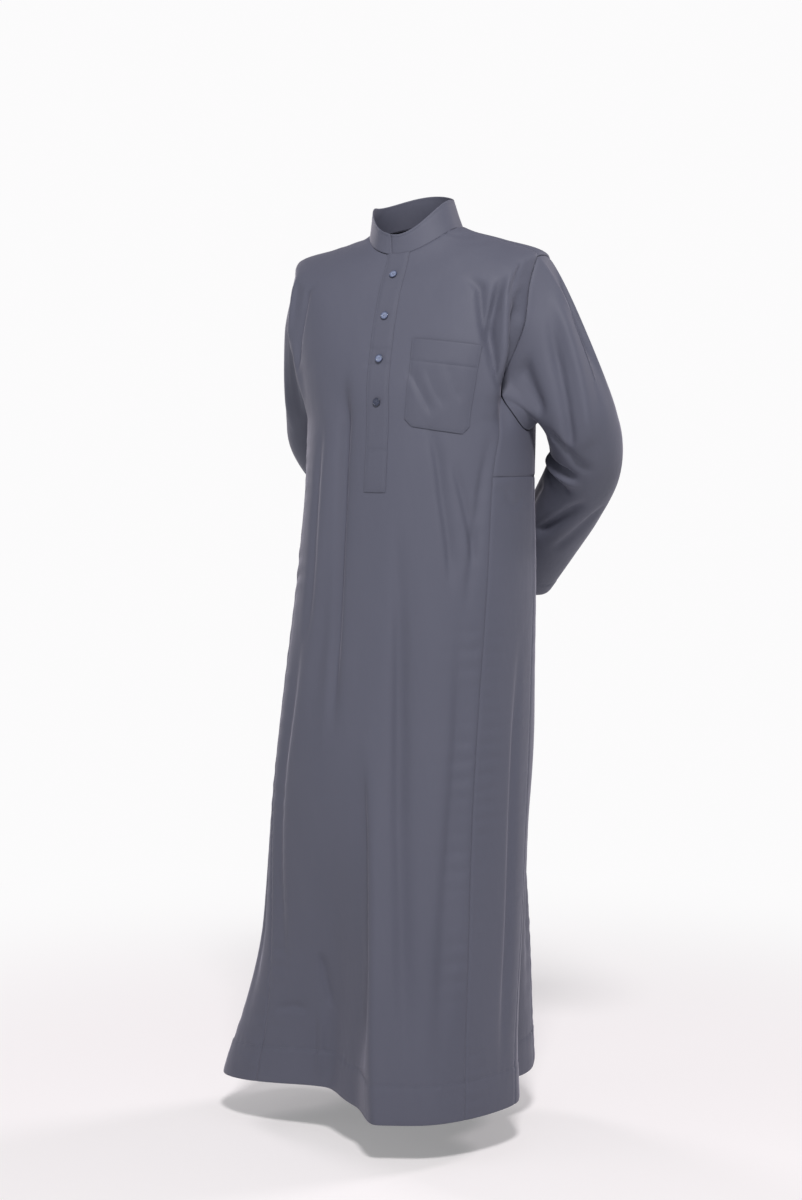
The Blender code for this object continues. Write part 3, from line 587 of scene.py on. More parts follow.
def seam_relief(away, along, gather, seed):
    """A seam's valley, a bell curve of the distance away from it, plus puckers: an uneven ripple along it
    that fades with that distance."""
    valley = -SEAM_DEPTH * np.exp(-((away / SEAM_WIDTH) ** 2))
    fade = (away / PUCKER_REACH) * np.exp(1 - away / PUCKER_REACH) * np.exp(-away / (3 * PUCKER_REACH))
    large = PUCKER_HEIGHT * wave(along / PUCKER_WAVE, seed) * (0.55 + 0.45 * wave(along / 0.23, seed + 40))
    small = SMALL_PUCKER_HEIGHT * wave(along / SMALL_PUCKER_WAVE, seed + 80) * np.exp(-away / 0.008)
    return valley + gather * (large * fade + small)


def groove(away):
    """A stitch line's small groove, a bell curve of the distance from it."""
    return -STITCH_SINK * np.exp(-((away / STITCH_WIDTH) ** 2))


def panel_relief(name, points, level, hem):
    """Seam valleys and puckers at both sides and at the top, then the hem's step, groove and fold."""
    across, along = lengths(points, 1), lengths(points, 0)
    low, high = GATHERS.get(name, (0.0, 0.0))
    seed = sum(map(ord, name))
    relief = seam_relief(across, along, low, seed)
    relief = relief + seam_relief(across[:, -1:] - across, along, high, seed + 7)
    relief = relief - SEAM_DEPTH * np.exp(-(((along[-1:] - along) / SEAM_WIDTH) ** 2))
    if not hem:
        return relief - SEAM_DEPTH * np.exp(-((along / SEAM_WIDTH) ** 2))
    above = level - HEM - HEM_DEPTH
    stand = HEM_STAND * (1 - soft_step(above / 0.002 + 0.5))
    fold = -0.0006 * np.exp(-((along / HEM_FOLD) ** 2))
    ripple = 0.0005 * wave(across / 0.019, seed + 3) * np.exp(-((above / 0.009) ** 2))
    return relief + stand + groove(above) + fold + ripple


def add_panel(name, angle, level, hem=False, extra=None):
    """A cloth panel of the form between its seams, as a closed shell that stands for the CAD node."""
    angle, level = trimmed(angle, level, SEAM_GAP / 2)
    points = surface(angle, level)
    normal = grid_normals(points)
    relief = panel_relief(name, points, level, hem)
    if extra is not None:
        relief = relief + extra(level, points)
    outer = points + normal * relief[..., None]
    inner = outer - normal * WALL
    piece = add_piece(f"{name}_cloth", shell(f"{name}_cloth", outer, inner), "cloth", (name,))
    print(f"{name}: {outer.shape[0]} x {outer.shape[1]} points")
    return {"piece": piece, "outer": outer, "normal": normal, "level": level}


# %% Front, back and yoke
FRONT_COLUMNS = 122
BACK_COLUMNS = 92
YOKE_SIDE_COLUMNS = 12
YOKE_BACK_COLUMNS = 76
FRONT_WIDTH = 0.40
BACK_WIDTH = 0.36


def build_front():
    """From the hem to the neck, between its two side edges, which turn from gore seam to armhole to yoke."""
    levels = np.concatenate([rows_between(HEM, ARMHOLE_FOOT, (True, False)),
                             rows_between(ARMHOLE_FOOT, SHOULDER, (False, False))[1:],
                             rows_between(SHOULDER, NECK, (False, True))[1:]])
    edge = edge_angles(levels, "front")
    angle = fan(-edge, edge, shares(FRONT_COLUMNS, FRONT_WIDTH))
    return add_panel("front", angle, np.repeat(levels[:, None], angle.shape[1], axis=1), hem=True)


def build_back():
    """From the hem to the yoke's seam, round the back from one side edge to the other."""
    levels = np.concatenate([rows_between(HEM, ARMHOLE_FOOT, (True, False)),
                             rows_between(ARMHOLE_FOOT, SHOULDER, (False, True))[1:]])
    edge = edge_angles(levels, "back")
    angle = fan(edge, 360 - edge, shares(BACK_COLUMNS, BACK_WIDTH))
    return add_panel("back", angle, np.repeat(levels[:, None], angle.shape[1], axis=1), hem=True)


def build_yoke():
    """Round the back of the neck and over both shoulders, with its lower edge on the armholes and back."""
    levels = rows_between(SHOULDER, NECK)
    front = table_at(levels, YOKE, YOKE_COLUMNS, "front")
    corner = table_at(SHOULDER, ARMHOLE, ARMHOLE_COLUMNS, "back")
    neck_corner = front[-1] + (180 - front[-1]) * (corner - front[0]) / (180 - front[0])
    back = corner + (neck_corner - corner) * (levels - SHOULDER) / (NECK - SHOULDER)
    sides = shares(YOKE_SIDE_COLUMNS, 0.10, (True, False))
    behind = np.linspace(0, 1, YOKE_BACK_COLUMNS)[1:]
    angle = np.hstack([fan(front, back, sides), fan(back, 360 - back, behind),
                       fan(360 - back, 360 - front, (1 - sides[::-1])[1:])])
    return add_panel("yoke", angle, np.repeat(levels[:, None], angle.shape[1], axis=1))


panels = {"front": build_front(), "back": build_back(), "yoke": build_yoke()}

# %% [markdown]
# ## Gores and underarm panels
#
# Straight panels would make a tube, so the skirt is widened by gores: two on each side, split by the side
# seam. The upper end of that seam is the slit of a side pocket, whose front lip lies over the back one. Above
# the level hip seam a small panel fills the space under the arm, and its top edge is the foot of the armhole.

# %% Gores, slits and underarm panels
GORE_COLUMNS = 34
UNDERARM_COLUMNS = 26
GORE_WIDTH = 0.13


def slit_lip(side, mirrored):
    """The pocket slit's edge: over the slit's length the front gore's edge stands out and the back gore's
    sinks, both as bell curves of the distance from the seam."""
    sign = 1 if side == "front" else -1

    def lip(level, points):
        """The slit's relief on this gore's grid."""
        across = lengths(points, 1)
        at_seam = across if (side == "back") != mirrored else across[:, -1:] - across
        open_here = soft_step((level - SLIT_FOOT) / 0.012) * soft_step((SLIT_TOP - level) / 0.012)
        return sign * SLIT_LIP * 0.7 * np.exp(-((at_seam / 0.006) ** 2)) * open_here

    return lip


def build_gore(side, hand, mirrored):
    """From the hem to the hip seam, between the side seam and the front's or the back's edge."""
    levels = rows_between(HEM, HIP_SEAM)
    seam = {name: table_at(levels, SEAMS, SEAM_COLUMNS, name) for name in SEAM_COLUMNS[1:]}
    low, high = ("front", "side") if side == "front" else ("side", "back")
    angle = fan(seam[low], seam[high], shares(GORE_COLUMNS, GORE_WIDTH))
    if mirrored:
        angle = -angle[:, ::-1]
    level = np.repeat(levels[:, None], angle.shape[1], axis=1)
    return add_panel(f"{side}_gore_{hand}", angle, level, hem=True, extra=slit_lip(side, mirrored))


def underarm_grid(levels, before, after):
    """Angles and levels of an underarm panel, whose top edge dips under the armhole as a parabola."""
    seam = {name: table_at(levels, SEAMS, SEAM_COLUMNS, name) for name in SEAM_COLUMNS[1:]}
    angle = np.hstack([fan(seam["front"], seam["side"], before),
                       fan(seam["side"], seam["back"], after)[:, 1:]])
    part = (angle[-1] - angle[-1, 0]) / (angle[-1, -1] - angle[-1, 0])
    top = ARMHOLE_FOOT - ARMHOLE_DIP * 4 * part * (1 - part)
    rise = (levels - HIP_SEAM) / (ARMHOLE_FOOT - HIP_SEAM)
    return angle, HIP_SEAM + rise[:, None] * (top - HIP_SEAM)[None, :]


def build_underarm(hand, mirrored):
    """From the hip seam to the armhole's foot. The right one is the left one with its angles turned over."""
    levels = rows_between(HIP_SEAM, ARMHOLE_FOOT)
    before = shares(UNDERARM_COLUMNS, 0.11, (True, False))
    after = shares(UNDERARM_COLUMNS, 0.11, (False, True))
    angle, level = underarm_grid(levels, before, after)
    if mirrored:
        angle, level = -angle[:, ::-1], level[:, ::-1]
    return add_panel(f"underarm_{hand}", angle, level)


for hand, mirrored in (("left", False), ("right", True)):
    for side in ("front", "back"):
        panels[f"{side}_gore_{hand}"] = build_gore(side, hand, mirrored)
    panels[f"underarm_{hand}"] = build_underarm(hand, mirrored)

# %% [markdown]
# ## Sleeves
#
# A set-in sleeve is a tube sewn round the armhole. Its path is the arm's: down and out to the elbow, then in
# behind the back. Each section is an oval square to the path, and its outer side is carried along from ring
# to ring, so the tube does not twist. The cap, from the armhole to the first ring of the arm, leaves the seam
# in the direction of the cloth there and arrives along the arm, which is what a cubic curve with a given
# start and end pull does. Creases gather inside the elbow and hang from the cap.

# %% Sleeve tables
LEFT_SLEEVE = {
    "upper arm": (0.272, 0.055, -0.325, 0.058, 0.066),
    "above elbow": (0.270, 0.078, -0.356, 0.059, 0.064),
    "elbow": (0.256, 0.106, -0.392, 0.060, 0.062),
    "below elbow": (0.214, 0.146, -0.446, 0.059, 0.060),
    "forearm": (0.152, 0.190, -0.514, 0.056, 0.055),
    "end": (0.095, 0.222, -0.580, 0.052, 0.049),
}
RIGHT_SLEEVE = {
    "upper arm": (0.238, 0.102, -0.312, 0.056, 0.064),
    "above elbow": (0.242, 0.114, -0.342, 0.056, 0.062),
    "elbow": (0.232, 0.134, -0.377, 0.056, 0.059),
    "below elbow": (0.190, 0.170, -0.428, 0.055, 0.056),
    "forearm": (0.122, 0.206, -0.488, 0.053, 0.053),
    "end": (0.052, 0.240, -0.545, 0.052, 0.049),
}
CAP_LENGTH = 0.20
CAP_PULL_TOP = 0.76
CAP_PULL_UNDER = 0.46
CAP_END_PULL = 0.85
CAP_LEAN_TOP = 0.34
CAP_LEAN_UNDER = 0.80
CAP_ROWS = 56
EVEN_ROUNDS = 40
ARM_ROWS = 96
ARM_STEPS = 11
LOOP_COUNTS = {"top": 14, "front": 26, "under": 34, "back": 26}
SLEEVE_DEGREE = 0.00104
SLEEVE_HEM = 0.026
LEFT_CREASES = {
    "cap fold": (((38, 0.03), (44, 0.09), (50, 0.15), (58, 0.21)), 0.009, 0.014, 0.0080),
    "trough before the cap fold": (((62, 0.04), (72, 0.10), (80, 0.16), (88, 0.22)), 0.009, 0.008, -0.0110),
    "inner cap trough": (((104, 0.02), (112, 0.08), (118, 0.14)), 0.007, 0.009, -0.0100),
    "outer cap trough": (((8, 0.05), (14, 0.11), (22, 0.18)), 0.012, 0.014, -0.0030),
    "upper arm pull": (((128, 0.15), (100, 0.20), (76, 0.235), (52, 0.252)), 0.009, 0.007, -0.0062),
    "elbow hollow": (((190, 0.262), (150, 0.258), (112, 0.254), (78, 0.262)), 0.009, 0.007, -0.0110),
    "elbow ridge": (((186, 0.284), (150, 0.277), (110, 0.274), (70, 0.282)), 0.008, 0.008, 0.0062),
    "second elbow hollow": (((186, 0.306), (150, 0.298), (116, 0.297), (84, 0.306)), 0.009, 0.007, -0.0100),
    "forearm pull": (((60, 0.300), (84, 0.345), (104, 0.395), (120, 0.440)), 0.007, 0.012, -0.0090),
    "second forearm pull": (((20, 0.315), (44, 0.360), (62, 0.410), (76, 0.455)), 0.008, 0.011, -0.0050),
    "forearm roll": (((150, 0.330), (158, 0.380), (150, 0.430)), 0.010, 0.010, -0.0058),
    "rear cap fold": (((-40, 0.04), (-46, 0.12), (-50, 0.20)), 0.011, 0.013, -0.0067),
    "rear elbow drag": (((-20, 0.30), (-50, 0.27), (-80, 0.22)), 0.010, 0.010, -0.0068),
    "rear forearm drag": (((-24, 0.33), (-50, 0.38), (-84, 0.42)), 0.008, 0.012, -0.0060),
    "cuff drag": (((-30, 0.43), (-64, 0.46), (-100, 0.48)), 0.008, 0.011, -0.0044),
    "rear upper arm line": (((-92, 0.12), (-78, 0.19), (-50, 0.245)), 0.009, 0.012, -0.0056),
    "under fold": (((-110, 0.10), (-120, 0.18), (-126, 0.26)), 0.010, 0.012, -0.0064),
}
RIGHT_CREASES = {
    "cap fold": (((40, 0.03), (46, 0.10), (54, 0.16), (64, 0.21)), 0.010, 0.013, 0.0052),
    "trough before the cap fold": (((66, 0.04), (78, 0.11), (88, 0.18)), 0.010, 0.009, -0.0050),
    "inner cap trough": (((108, 0.03), (118, 0.09), (126, 0.15)), 0.008, 0.010, -0.0046),
    "elbow hollow": (((190, 0.258), (150, 0.252), (114, 0.250), (84, 0.258)), 0.009, 0.007, -0.0056),
    "elbow ridge": (((186, 0.280), (150, 0.272), (110, 0.270), (72, 0.278)), 0.008, 0.008, 0.0044),
    "second elbow hollow": (((188, 0.302), (150, 0.292), (118, 0.292), (88, 0.300)), 0.009, 0.007, -0.0046),
    "forearm pull": (((56, 0.296), (80, 0.340), (98, 0.390), (116, 0.430)), 0.008, 0.012, -0.0040),
    "forearm roll": (((148, 0.330), (158, 0.380), (150, 0.425)), 0.010, 0.010, -0.0058),
    "rear cap fold": (((-42, 0.04), (-50, 0.12), (-52, 0.20)), 0.011, 0.013, -0.0064),
    "rear forearm drag": (((-28, 0.325), (-54, 0.37), (-88, 0.41)), 0.008, 0.012, -0.0056),
    "rear upper arm line": (((-96, 0.13), (-80, 0.19), (-54, 0.24)), 0.009, 0.012, -0.0052),
    "rear elbow drag": (((-24, 0.30), (-52, 0.265), (-84, 0.22)), 0.010, 0.010, -0.0064),
}


def resample(angle, level, count):
    """Points evenly apart along a line on the form, the last one left for the next line to give."""
    points = form(angle, level)
    place = np.concatenate([[0.0], np.cumsum(np.linalg.norm(np.diff(points, axis=0), axis=1))])
    at = np.linspace(0, place[-1], count + 1)[:-1]
    return np.interp(at, place, angle), np.interp(at, place, level)


def armhole_loop():
    """Angle and level round the left armhole: over the top to the front, down, under the arm and up again."""
    levels = np.linspace(ARMHOLE_FOOT, SHOULDER, 60)
    front = table_at(levels, ARMHOLE, ARMHOLE_COLUMNS, "front")
    back = table_at(levels, ARMHOLE, ARMHOLE_COLUMNS, "back")
    halves = np.linspace(0, 1, 40)
    foot = np.array([ARMHOLE_FOOT])
    under_angle, under_level = (grid[-1] for grid in underarm_grid(foot, halves, halves))
    lines = {
        "top": (np.linspace(back[-1], front[-1], 20), np.full(20, SHOULDER)),
        "front": (front[::-1], levels[::-1]),
        "under": (under_angle, under_level),
        "back": (back, levels),
    }
    parts = [resample(*lines[name], count) for name, count in LOOP_COUNTS.items()]
    return np.concatenate([part[0] for part in parts]), np.concatenate([part[1] for part in parts])


def into_hole(angle, level):
    """Steps, as degrees and levels per metre of cloth, square to the loop and into its hole."""
    turn, rise = (np.linalg.norm(step, axis=-1) for step in form_steps(angle, level))
    along_turn = (np.roll(angle, -1) - np.roll(angle, 1)) * turn
    along_rise = (np.roll(level, -1) - np.roll(level, 1)) * rise
    length = np.hypot(along_turn, along_rise)
    return -along_rise / length / turn, along_turn / length / rise


def evened(directions):
    """Each direction becomes the mean of itself, twice counted, and its two neighbours, many times over, so
    that no sharp turn of the armhole leaves a slot in the cap."""
    for _ in range(EVEN_ROUNDS):
        near = np.roll(directions, 1, axis=0) + np.roll(directions, -1, axis=0)
        directions = unit(2 * directions + near)
    return directions


def sleeve_sections(path, turns):
    """Rings of an arm's path: middle, plus across times the cosine of the turn along the outer side, plus
    deep times its sine along the front side."""
    knots = smooth_line(list(path.values()), ARM_STEPS + 1)
    at = np.linspace(0, 1, ARM_ROWS + 1) * np.linalg.norm(np.diff(knots[:, :3], axis=0), axis=1).sum()
    place = np.linspace(0, at[-1], ARM_STEPS + 1)
    rows = np.stack([smooth_free(at, place, knots[:, i]) for i in range(5)], axis=-1)
    along = unit(np.gradient(rows[:, :3], axis=0))
    outward = np.array([1.0, 0.0, 0.0])
    sides = []
    for heading in along:
        outward = unit(outward - heading * (outward @ heading))
        sides.append(outward)
    sides = np.array(sides)
    fronts = np.cross(along, sides)
    rings = rows[:, None, :3] + rows[:, 3, None, None] * np.cos(turns)[None, :, None] * sides[:, None]
    return rings + rows[:, 4, None, None] * np.sin(turns)[None, :, None] * fronts[:, None], along, at


def sleeve_grid(path, creases, mirrored):
    """The sleeve's points from the armhole to its end, its relief, the place of each row along it, and the
    signs that turn the right sleeve over. The cap is a cubic curve between two ends with given pulls."""
    angle, level = armhole_loop()
    turn, rise = into_hole(angle, level)
    if mirrored:
        angle, turn = -angle, -turn
    flip = np.array([-1.0, 1.0, 1.0]) if mirrored else np.ones(3)
    angle, level = angle + turn * ARMHOLE_GAP, level + rise * ARMHOLE_GAP
    start = surface(angle, level) * flip
    pull = unit(form(angle + turn * LEVEL_STEP, level + rise * LEVEL_STEP) * flip - form(angle, level) * flip)
    normal = form_normal(angle, level) * flip
    sides = np.linalg.norm(np.roll(start, -1, axis=0) - start, axis=1)
    turns = 2 * np.pi * (np.cumsum(sides) - sides) / sides.sum()
    turns = turns - turns[LOOP_COUNTS["top"] // 2]
    under = (1 - np.cos(turns))[:, None] / 2
    lean = CAP_LEAN_TOP + (CAP_LEAN_UNDER - CAP_LEAN_TOP) * under
    pull = evened(unit(pull + lean * normal)) * (CAP_PULL_TOP + (CAP_PULL_UNDER - CAP_PULL_TOP) * under)
    rings, heading, at = sleeve_sections(path, turns)
    chord = np.linalg.norm(rings[0] - start, axis=1)[None, :, None]
    s = shares(CAP_ROWS, CAP_LENGTH, (True, False))[:-1, None, None]
    cap = (
        (1 - s) ** 2 * (1 + 2 * s) * start[None]
        + s * (1 - s) ** 2 * chord * pull[None]
        + s**2 * (3 - 2 * s) * rings[0][None]
        - s**2 * (1 - s) * chord * CAP_END_PULL * heading[0]
    )
    grid = np.concatenate([cap, rings])
    along = np.concatenate([CAP_LENGTH * s[:, 0, 0], CAP_LENGTH + at])
    hold = soft_step(along / (CAP_LENGTH / 4))[:, None]
    degrees = np.degrees(turns)[None, :]
    relief = hold * crease_relief(degrees, along[:, None], creases, SLEEVE_DEGREE)
    to_end = along[-1] - along[:, None]
    relief = relief - SEAM_DEPTH * np.exp(-((along[:, None] / SEAM_WIDTH) ** 2))
    relief = relief + HEM_STAND * (1 - soft_step((to_end - SLEEVE_HEM) / 0.002 + 0.5))
    relief = relief + groove(to_end - SLEEVE_HEM) - 0.0006 * np.exp(-((to_end / HEM_FOLD) ** 2))
    around = 0.0003 * wave(degrees / 9, 5) * np.exp(-(((to_end - SLEEVE_HEM) / 0.008) ** 2))
    return grid, relief + around, along, flip


def build_sleeve(hand, path, creases, mirrored):
    """A closed tube of cloth. The right one is made as a left one, and its x is then turned over."""
    grid, relief, along, flip = sleeve_grid(path, creases, mirrored)
    normal = grid_normals(grid, closed=True)
    centre = grid.mean(axis=1, keepdims=True)
    normal = normal * np.sign((normal * (grid - centre)).sum())
    outer = grid + normal * relief[..., None]
    inner = outer - normal * WALL
    outer, inner = outer * flip, inner * flip
    if ((grid_normals(outer, closed=True) * (outer - outer.mean(axis=1, keepdims=True))).sum()) < 0:
        outer, inner = outer[:, ::-1], inner[:, ::-1]
    name = f"sleeve_{hand}"
    piece = add_piece(f"{name}_cloth", shell(f"{name}_cloth", outer, inner, closed=True), "cloth", (name,))
    print(f"{name}: {outer.shape[0]} x {outer.shape[1]} points, {along[-1]:.3f} m long")
    return piece, outer, along


sleeves = {
    "left": build_sleeve("left", LEFT_SLEEVE, LEFT_CREASES, mirrored=False),
    "right": build_sleeve("right", RIGHT_SLEEVE, RIGHT_CREASES, mirrored=True),
}

# %% [markdown]
# ## Collar
#
# The stand collar is a band of two layers of cloth with a stiff interlining, sewn to the neck and lapped at
# the front. It could be a curve with a bevel, but its top and bottom follow different ovals, so it is a
# surface ruled between the neck's ring and a smaller ring above it. Its left end runs out over the right
# one, and its edges are rounded where the cloth turns.

# %% Collar
COLLAR_COLUMNS = ("x", "y", "half_width", "front", "back", "z_front", "z_side", "z_back", "tilt")
COLLAR_TOP = (-0.004, -0.002, 0.069, 0.060, 0.056, -0.019, 0.034, 0.050, 0.06)
COLLAR_START = -20.0
COLLAR_END = 351.0
COLLAR_LAP = 0.0024
COLLAR_LAP_TURN = 45.0
COLLAR_LAP_EASE = 27.0
COLLAR_COLUMN_COUNT = 200
COLLAR_ROWS = 14
COLLAR_LENGTH = 0.44
COLLAR_HEIGHT = 0.032
COLLAR_ROUND = 0.0007
COLLAR_SEAT = 0.0016
COLLAR_BOW = 0.0012
COLLAR_STITCH = 0.0045
ROUND_REACH = 0.0012


def collar_grid():
    """Ruled between the neck's ring and the collar's top ring. The left end moves out by the lap."""
    angle = COLLAR_START + (COLLAR_END - COLLAR_START) * shares(COLLAR_COLUMN_COUNT, COLLAR_LENGTH)
    lap = COLLAR_LAP * soft_step((angle - COLLAR_END + COLLAR_LAP_TURN) / COLLAR_LAP_EASE)
    sine, cosine = np.sin(np.radians(angle)), np.cos(np.radians(angle))
    top = dict(zip(COLLAR_COLUMNS, COLLAR_TOP))
    x = top["x"] + top["half_width"] * sine
    y = top["y"] - np.where(cosine > 0, top["front"], top["back"]) * cosine
    high = np.where(cosine > 0, top["z_front"], top["z_back"])
    z = top["z_side"] + (high - top["z_side"]) * cosine**2 + top["tilt"] * x
    rim = np.stack([x, y, z], axis=-1)
    foot = form(angle, NECK) - np.array([0.0, 0.0, COLLAR_SEAT])
    part = shares(COLLAR_ROWS, COLLAR_HEIGHT)[:, None, None]
    outward = unit(np.stack([sine, -cosine, np.zeros_like(sine)], axis=-1))
    bow = COLLAR_BOW * np.sin(np.pi * part) * (0.6 + 0.4 * wave(angle / 70, 11))[:, None]
    grid = foot + (rim - foot) * part + outward * (lap[:, None] - bow)
    return grid, outward


def build_collar():
    """The outer wall is rounded at its free edges and grooved under its stitches."""
    grid, outward = collar_grid()
    across, up = lengths(grid, 1), lengths(grid, 0)
    edge = np.minimum.reduce([across, across[:, -1:] - across, up[-1:] - up])
    rounded = -COLLAR_ROUND * np.exp(-((edge / ROUND_REACH) ** 2)) + groove(edge - COLLAR_STITCH) * 0.5
    outer = grid + outward * rounded[..., None]
    inner = grid - outward * (WALL + rounded[..., None] * 0.5)
    name = "collar_cloth"
    print("collar:", outer.shape[0], "x", outer.shape[1], "points")
    return add_piece(name, shell(name, outer, inner), "cloth", ("collar",)), outer


collar, collar_outer = build_collar()

# %% [markdown]
# ## Placket and pocket
#
# These two are laid on the front, so they use the front's own points, moved out a little. The placket is a
# narrow band with a stitched box at its foot. The pocket has a wide turned hem at its top and clipped lower
# corners, and it is a touch full, so its middle stands away from the chest.

# %% Placket and chest pocket
PLACKET_HALF_WIDTH = 0.0195
PLACKET_COUNT = 24
PLACKET_ROW_STEP = 0.0030
PLACKET_STITCH = 0.0024
PLACKET_BOX = 0.070
POCKET_ANGLES = (14.0, 45.5)
POCKET_TOP = -0.190
POCKET_BOTTOM = -0.330
POCKET_SLANT = 0.012
POCKET_CLIP = 0.012
POCKET_CLIP_SHARE = 0.22
POCKET_COUNT = 62
POCKET_ROWS = 74
POCKET_HEM = 0.036
POCKET_STITCH = 0.0022
POCKET_FULL = 0.0016
PATCH_ROUND = 0.0005
PATCH_ROUND_REACH = 0.0011
BOX_DOUBLE = 0.004
HALVINGS = 30


def level_at(angle, height):
    """The level whose ring has this height at this angle, found by halving the range again and again."""
    low = np.full(np.broadcast(angle, height).shape, HEM)
    high = np.full_like(low, NECK)
    for _ in range(HALVINGS):
        middle = (low + high) / 2
        below = form(angle, middle)[..., 2] < height
        low = np.where(below, middle, low)
        high = np.where(below, high, middle)
    return (low + high) / 2


def placket_angle(offset, level):
    """The angle that lies this far, in metres, from the front's middle."""
    return np.degrees(offset / table_at(level, RINGS, RING_COLUMNS, "half_width"))


def laid_piece(name, node, angle, level, gap, relief):
    """The front's surface moved out along its normal, first by the gap and then by the wall and a relief."""
    base, normal = surface(angle, level), surface_normal(angle, level)
    across, up = lengths(base, 1), lengths(base, 0)
    edge = np.minimum.reduce([across, across[:, -1:] - across, up, up[-1:] - up])
    rounded = -PATCH_ROUND * np.exp(-((edge / PATCH_ROUND_REACH) ** 2))
    out = np.maximum(rounded + relief(across, up), -0.8 * PATCH_WALL)
    inner = base + normal * gap
    outer = inner + normal * (PATCH_WALL + out)[..., None]
    print(f"{node}: {outer.shape[0]} x {outer.shape[1]} points")
    return add_piece(name, shell(name, outer, inner), "patch_cloth", (node,)), outer


def build_placket():
    """A band of even width down the front's middle."""
    low, high = PLACKET_END, NECK - NECK_GAP
    levels = low + (high - low) * shares(int((high - low) / PLACKET_ROW_STEP), high - low)
    offset = PLACKET_HALF_WIDTH * (2 * shares(PLACKET_COUNT, 2 * PLACKET_HALF_WIDTH) - 1)
    level = np.repeat(levels[:, None], len(offset), axis=1)

    def relief(across, up):
        """Grooves beside both edges and round the foot's box, with small ripples between the stitches."""
        side = np.minimum(across, across[:, -1:] - across)
        lines = groove(side - PLACKET_STITCH) + groove(up - PLACKET_STITCH)
        box = groove(up - PLACKET_BOX) + groove(up - PLACKET_BOX + BOX_DOUBLE)
        ripple = 0.00022 * wave(up / 0.014, 21) * np.exp(-side / 0.006)
        return 0.6 * (lines + box) + ripple

    angle = placket_angle(offset[None, :], level)
    return laid_piece("placket_cloth", "placket", angle, level, LAID_GAP, relief)


def build_pocket():
    """A patch between two angles and two heights, narrowed over its last centimetre to clip the corners."""
    across = 2 * shares(POCKET_COUNT, 0.115) - 1
    down = shares(POCKET_ROWS, 0.14)[::-1]
    middle, half = np.mean(POCKET_ANGLES), np.ptp(POCKET_ANGLES) / 2
    clip = POCKET_CLIP / (POCKET_TOP - POCKET_BOTTOM)
    narrow = 1 - POCKET_CLIP_SHARE * np.clip((down - (1 - clip)) / clip, 0, 1)
    angle = middle + half * across[None, :] * narrow[:, None]
    slant = POCKET_SLANT * (across[None, :] + 1) / 2
    height = POCKET_TOP + (POCKET_BOTTOM - POCKET_TOP) * down[:, None] - slant

    def relief(across, up):
        """A full middle, a hem that stands out, and grooves at the stitches: sides, foot and hem."""
        side = np.minimum(across, across[:, -1:] - across)
        from_top = up[-1:] - up
        lines = groove(side - POCKET_STITCH) + groove(up - POCKET_STITCH) + groove(from_top - POCKET_HEM)
        full = POCKET_FULL * soft_step(side / 0.02) * soft_step(up / 0.03)
        hem = 0.0004 * (1 - soft_step((from_top - POCKET_HEM) / 0.002 + 0.5))
        return 0.6 * lines + full + hem

    return laid_piece("pocket_cloth", "chest_pocket", angle, level_at(angle, height), POCKET_GAP, relief)


placket, placket_outer = build_placket()
pocket, pocket_outer = build_pocket()

# %% [markdown]
# ## Buttons
#
# Each button is turned: a raised rim round a dished face, with four holes and two bars of thread. A button
# can be a Screw of its profile, as in the solid. Here it is a grid of radius and turn, so the holes can be
# small pits in the same surface. The face sits on the placket and looks the way the cloth does.

# %% Buttons
BUTTON_HEIGHTS = (-0.086, -0.153, -0.222, -0.291)
BUTTON_RADIUS = 0.0066
BUTTON_THICK = 0.0026
BUTTON_RIM = 0.0014
BUTTON_DISH = 0.0009
BUTTON_EDGE = 0.0006
BUTTON_RINGS = 46
BUTTON_TURNS = 72
HOLE_OFFSET = 0.00125
HOLE_RADIUS = 0.00052
HOLE_DEPTH = 0.0016
THREAD_RADIUS = 0.00030
BUTTON_SLOTS = ("pearl_button", "pearl_button", "pearl_button", "smoke_button")


def button_face(x, y):
    """Height of the face: flat, up a soft step to the rim, down a quarter round at the edge, less a pit that
    falls off with the fourth power of the distance at each of the four holes."""
    radius = np.hypot(x, y)
    rim = BUTTON_DISH * soft_step((radius - (BUTTON_RADIUS - BUTTON_RIM) + 0.0004) / 0.0006)
    over = np.clip((radius - (BUTTON_RADIUS - BUTTON_EDGE)) / BUTTON_EDGE, 0, 1)
    edge = BUTTON_EDGE * (1 - np.sqrt(1 - over**2))
    to_hole = np.hypot(np.abs(x) - HOLE_OFFSET, np.abs(y) - HOLE_OFFSET)
    holes = HOLE_DEPTH * np.exp(-((to_hole / HOLE_RADIUS) ** 4))
    return BUTTON_THICK / 2 - BUTTON_DISH + rim - edge - holes


def thread_bar(x):
    """A bar of thread from one hole to the next: an oval tube along y at this x, whose narrow ends sink into
    the holes."""
    along = np.linspace(-1, 1, 15)[:, None]
    turn = np.linspace(0, 2 * np.pi, 10, endpoint=False)[None, :]
    bulge = np.sqrt(np.clip(1 - along**6, 0.02, 1))
    lift = BUTTON_THICK / 2 - BUTTON_DISH + 0.0003 - 0.0012 * along**8
    bar_x = x + THREAD_RADIUS * 1.5 * bulge * np.cos(turn)
    bar_y = HOLE_OFFSET * along + 0 * turn
    bar_z = lift + THREAD_RADIUS * bulge * np.sin(turn)
    return np.stack([bar_x, bar_y, bar_z], axis=-1)


def standing_on(normal, across):
    """Three directions for a small piece: across the cloth, up it, and out of it."""
    side = unit(across - normal * (across * normal).sum(axis=-1, keepdims=True))
    return np.stack([side, np.cross(normal, side), normal], axis=-2)


